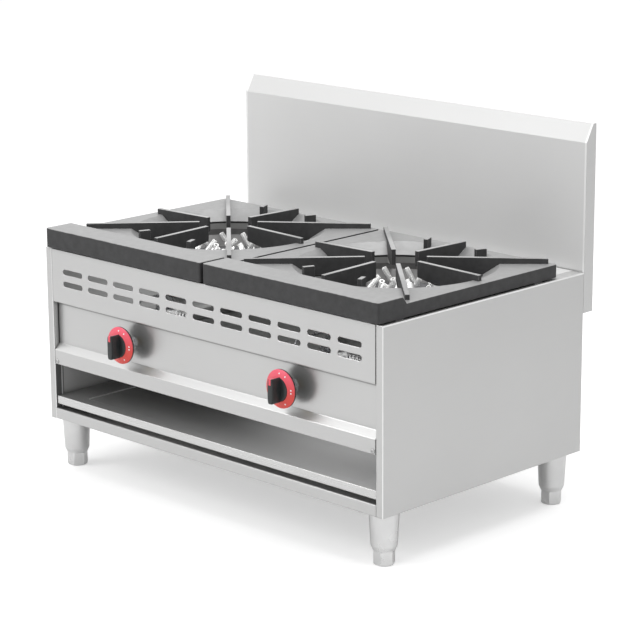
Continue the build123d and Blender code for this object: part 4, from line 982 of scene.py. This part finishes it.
class RANGE_OT_gas(bpy.types.Operator):
    """Finishes the valves, pipes, injectors, shutters and pilots, cuts the thread on the gas inlet, and
    makes a bright coiled tube over the manifold beside each valve."""

    bl_idname = "wok_range.gas"
    bl_label = "Gas fittings"

    # X of the tube's two risers and of its coil's ends, from the burner's axis, and the height of its run
    riser_places = (0.033, 0.117)
    coil_places = (0.0705, 0.1035)
    run_height = 0.351
    bend_radius = 0.010
    coil_turns = 3.75
    coil_radius = 0.0058
    # the tube is thick up to the coil and thin from there on, over a short shoulder
    tube_radius = 0.0046
    wire_radius = 0.0018
    shoulder = 0.0008

    def coiled_tube(self, axis_x, y, foot):
        """Circles carried along a path: up a riser, round a quarter bend, along X with a coil round the run,
        and round a bend and down again. The tube climbs to the top of the coil, and the coil's radius
        shrinks at its end. The circles' first axis is the coil's own radius, which is Y at both risers."""
        first, last = (axis_x + reach for reach in self.riser_places)
        start, end = (axis_x + reach for reach in self.coil_places)
        bend = self.bend_radius
        quarter = np.linspace(0, pi / 2, 10)
        run = np.linspace(first + bend, last - bend, 220)[1:-1]
        low = self.run_height - bend
        rise = np.stack([first + bend - bend * np.cos(quarter), low + bend * np.sin(quarter)], axis=1)
        along = np.stack([run, np.full_like(run, self.run_height)], axis=1)
        fall = np.stack([last - bend + bend * np.sin(quarter), low + bend * np.cos(quarter)], axis=1)
        line = np.concatenate([[[first, foot]], rise, along, fall, [[last, foot]]])
        lead = np.clip((line[:, 0] - first - bend) / (start - first - bend), 0, 1)
        share = np.clip((line[:, 0] - start) / (end - start), 0, 1)
        turn = pi / 2 * lead + tau * self.coil_turns * share
        radial = np.stack([np.zeros_like(turn), np.cos(turn), np.sin(turn)], axis=1)
        swell = self.coil_radius * lead * np.clip((1 - share) * self.coil_turns * 1.5, 0, 1)
        path = np.stack([line[:, 0], np.full_like(turn, y), line[:, 1]], axis=1)
        path += swell[:, None] * radial
        step = unit(np.gradient(path, axis=0))
        across = unit(radial - step * np.sum(radial * step, axis=1, keepdims=True))
        upward = np.cross(step, across)
        thick = np.clip((start - line[:, 0]) / self.shoulder, 0, 1)
        radius = self.wire_radius + (self.tube_radius - self.wire_radius) * thick
        angle = angles(14)
        circle = np.cos(angle) * across[:, None] + np.sin(angle) * upward[:, None]
        return capped(path[:, None] + radius[:, None, None] * circle)

    def execute(self, context):
        brass = worked_metal("turned_brass", (0.72, 0.55, 0.26), 0.3, 220.0)
        pipe = worked_metal("galvanised_pipe", (0.52, 0.53, 0.54), 0.42, 120.0)
        zinc = worked_metal("bright_zinc", (0.74, 0.75, 0.77), 0.28, 260.0)
        dress(brass, *both("gas_valve", "valve_plunger", "valve_stem"))
        dress(pipe, "manifold_pipe", "supply_pipe")
        dress(zinc, "valve_nuts", "leg_nuts", "backsplash_bolts")
        dress(zinc, *both("air_shutter", "pilot_burner", "injector"))
        bright = worked_metal("bright_aluminium", (0.95, 0.95, 0.95), 0.3, 200.0, 0.00001, 0.3)
        low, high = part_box("manifold_pipe")
        for side, axis_x in zip(sides, (-burner_place[0], burner_place[0])):
            tube = self.coiled_tube(axis_x, (low.y + high.y) / 2, high.z - 0.002)
            piece(f"coiled_tube_{side}", [(tube, False, True)], bright, "root")
        inlet = next(mount for mount in frame["record"]["mounts"] if mount["name"] == "gas_inlet")
        radius = inlet["dims"]["r_mm"] / 1000
        length = inlet["dims"]["length_mm"] / 1000
        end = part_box("supply_pipe")[1]
        pitch = 0.0018
        angle = angles(48)
        along = np.linspace(0.001, length - 0.0006, 80)[None]
        crest = radius + 0.00028 * ridges(along / pitch, angle)
        crest[:, [0, -1]] = radius - 0.0004
        depth = np.broadcast_to(-along, crest.shape)
        thread = np.stack([crest * np.cos(angle), depth, crest * np.sin(angle)], axis=-1)
        inner = thread[:, ::-1].copy()
        inner[..., ::2] *= ((radius - 0.0006) / crest[:, ::-1])[..., None]
        place = [inlet["pos_m"][0], end.y, inlet["pos_m"][2]]
        shell = np.concatenate([thread, inner], axis=1) + place
        piece("inlet_thread", [(shell, True, True)], pipe, "root")
        return {"FINISHED"}


class RANGE_OT_screws(bpy.types.Operator):
    """Makes the casing screws: pan heads with a cross driven into them. A head's height is the square root
    of one less a share of the fourth power of the distance from its middle, less the cross's depth."""

    bl_idname = "wok_range.screws"
    bl_label = "Casing screws"

    def execute(self, context):
        zinc = worked_metal("screw_steel", (0.58, 0.58, 0.58), 0.34, 400.0, 0.00001, 0.8)
        rings = 18
        dome_height, rim_depth, slot_depth, slot_width = 0.0023, 0.0024, 0.0011, 0.00065
        side_blur, end_blur = 0.0002, 0.0003
        turn = angles(48)
        share = np.linspace(0, 1, rings)[None]
        shells = []
        for low, high in solids_of("casing_screws"):
            head = max(high[0] - low[0], high[2] - low[2]) / 2
            ahead = (low[1] + high[1]) < 0
            tip = low[1] if ahead else high[1]
            x = head * share * np.cos(turn)
            y = head * share * np.sin(turn)
            dome = dome_height * np.sqrt(np.clip(1 - 0.82 * share ** 4, 0, 1)) + 0 * turn
            slot_reach = head * 0.62
            bar, cross = (
                np.clip((slot_width - np.abs(wide)) / side_blur, 0, 1)
                * np.clip((slot_reach - np.abs(long)) / end_blur, 0, 1)
                for wide, long in ((x, y), (y, x))
            )
            height = dome - slot_depth * np.maximum(bar, cross) - dome_height
            under = np.stack([x[:, -1:], y[:, -1:], np.full_like(x[:, -1:], -rim_depth)], axis=-1)
            foot = under * [0, 0, 1]
            grid = np.concatenate([np.stack([x, y, height], axis=-1), under, foot], axis=1)
            hand = -1 if ahead else 1
            place = [(low[0] + high[0]) / 2, tip, (low[2] + high[2]) / 2]
            shell = np.stack([grid[..., 0] * hand, grid[..., 2] * hand, grid[..., 1]], axis=-1) + place
            shells.append((shell, True, False))
        piece("screw_heads", shells, zinc, "root", ["casing_screws"])
        return {"FINISHED"}


class RANGE_OT_legs(bpy.types.Operator):
    """Finishes the leg sleeves and makes the screw feet: a hexagon with a rounded end on a threaded rod."""

    bl_idname = "wok_range.legs"
    bl_label = "Legs and feet"

    rod_radius = 0.008
    thread_depth = 0.0011
    rod_overlap = 0.002
    hexagon_height = 0.0267

    def execute(self, context):
        leg = context.scene.range_legs
        plated = worked_metal("satin_plated_leg", leg.tone, 0.3, 12.0, 0.000004, 0.95)
        rod = worked_metal("threaded_rod_steel", (0.55, 0.56, 0.57), 0.35, 300.0)
        dress(plated, *(f"leg_sleeve_{corner}" for corner in corners))
        for corner in corners:
            low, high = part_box(f"leg_foot_{corner}")
            base = base_of(f"leg_foot_{corner}")
            width, depth, height = high - low
            reach = max(width, depth) / 2
            tall = self.hexagon_height
            rounding = np.linspace(0, pi / 2, 7)
            chamfer = 0.0045
            curve = [(reach - chamfer + chamfer * sin(a), chamfer - chamfer * cos(a)) for a in rounding]
            shoulder = [(reach, tall - 0.0015), (reach - 0.0012, tall - 0.0003), (reach - 0.0022, tall)]
            head = hexagonal([(0, 0), *curve, *shoulder, (0, tall)], reach, 96)
            body = f"foot_{corner}"
            shells = [(head + base, True, False)]
            piece(f"foot_{corner}", shells, plated, body, [f"leg_foot_{corner}"])
            start = tall - self.rod_overlap
            root = self.rod_radius - self.thread_depth
            thread = threaded(self.rod_radius, root, leg.pitch, height - start)
            shells = [(thread + base + [0, 0, start], True, False)]
            piece(f"foot_rod_{corner}", shells, rod, body)
        return {"FINISHED"}


class RANGE_PT_sidebar(bpy.types.Panel):
    """Lists the range's settings and the buttons that make its pieces."""

    bl_idname = "RANGE_PT_sidebar"
    bl_label = "Wok range"
    bl_space_type = "VIEW_3D"
    bl_region_type = "UI"
    bl_category = "Wok range"

    def draw(self, context):
        for group in groups:
            box = self.layout.box()
            settings = getattr(context.scene, group)
            for name in groups[group].__annotations__:
                box.prop(settings, name)
        for operator in operators:
            self.layout.operator(operator.bl_idname)


groups = {
    "range_stage": StageSettings,
    "range_steel": SteelSettings,
    "range_casting": CastingSettings,
    "range_jets": JetSettings,
    "range_knobs": KnobSettings,
    "range_legs": LegSettings,
}
operators = (
    RANGE_OT_stage, RANGE_OT_sheets, RANGE_OT_castings, RANGE_OT_jets,
    RANGE_OT_knobs, RANGE_OT_gas, RANGE_OT_screws, RANGE_OT_legs,
)


def register():
    for name, group in groups.items():
        bpy.utils.register_class(group)
        setattr(bpy.types.Scene, name, PointerProperty(type=group))
    for part in (*operators, RANGE_PT_sidebar):
        bpy.utils.register_class(part)


def unregister():
    for part in (RANGE_PT_sidebar, *reversed(operators)):
        bpy.utils.unregister_class(part)
    for name, group in groups.items():
        delattr(bpy.types.Scene, name)
        bpy.utils.unregister_class(group)


def main():
    """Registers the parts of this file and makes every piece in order."""
    register()
    bpy.ops.wok_range.stage()
    bpy.ops.wok_range.sheets()
    bpy.ops.wok_range.castings()
    bpy.ops.wok_range.jets()
    bpy.ops.wok_range.knobs()
    bpy.ops.wok_range.gas()
    bpy.ops.wok_range.screws()
    bpy.ops.wok_range.legs()
    bpy.context.view_layer.update()


if __name__ == "__main__":
    main()
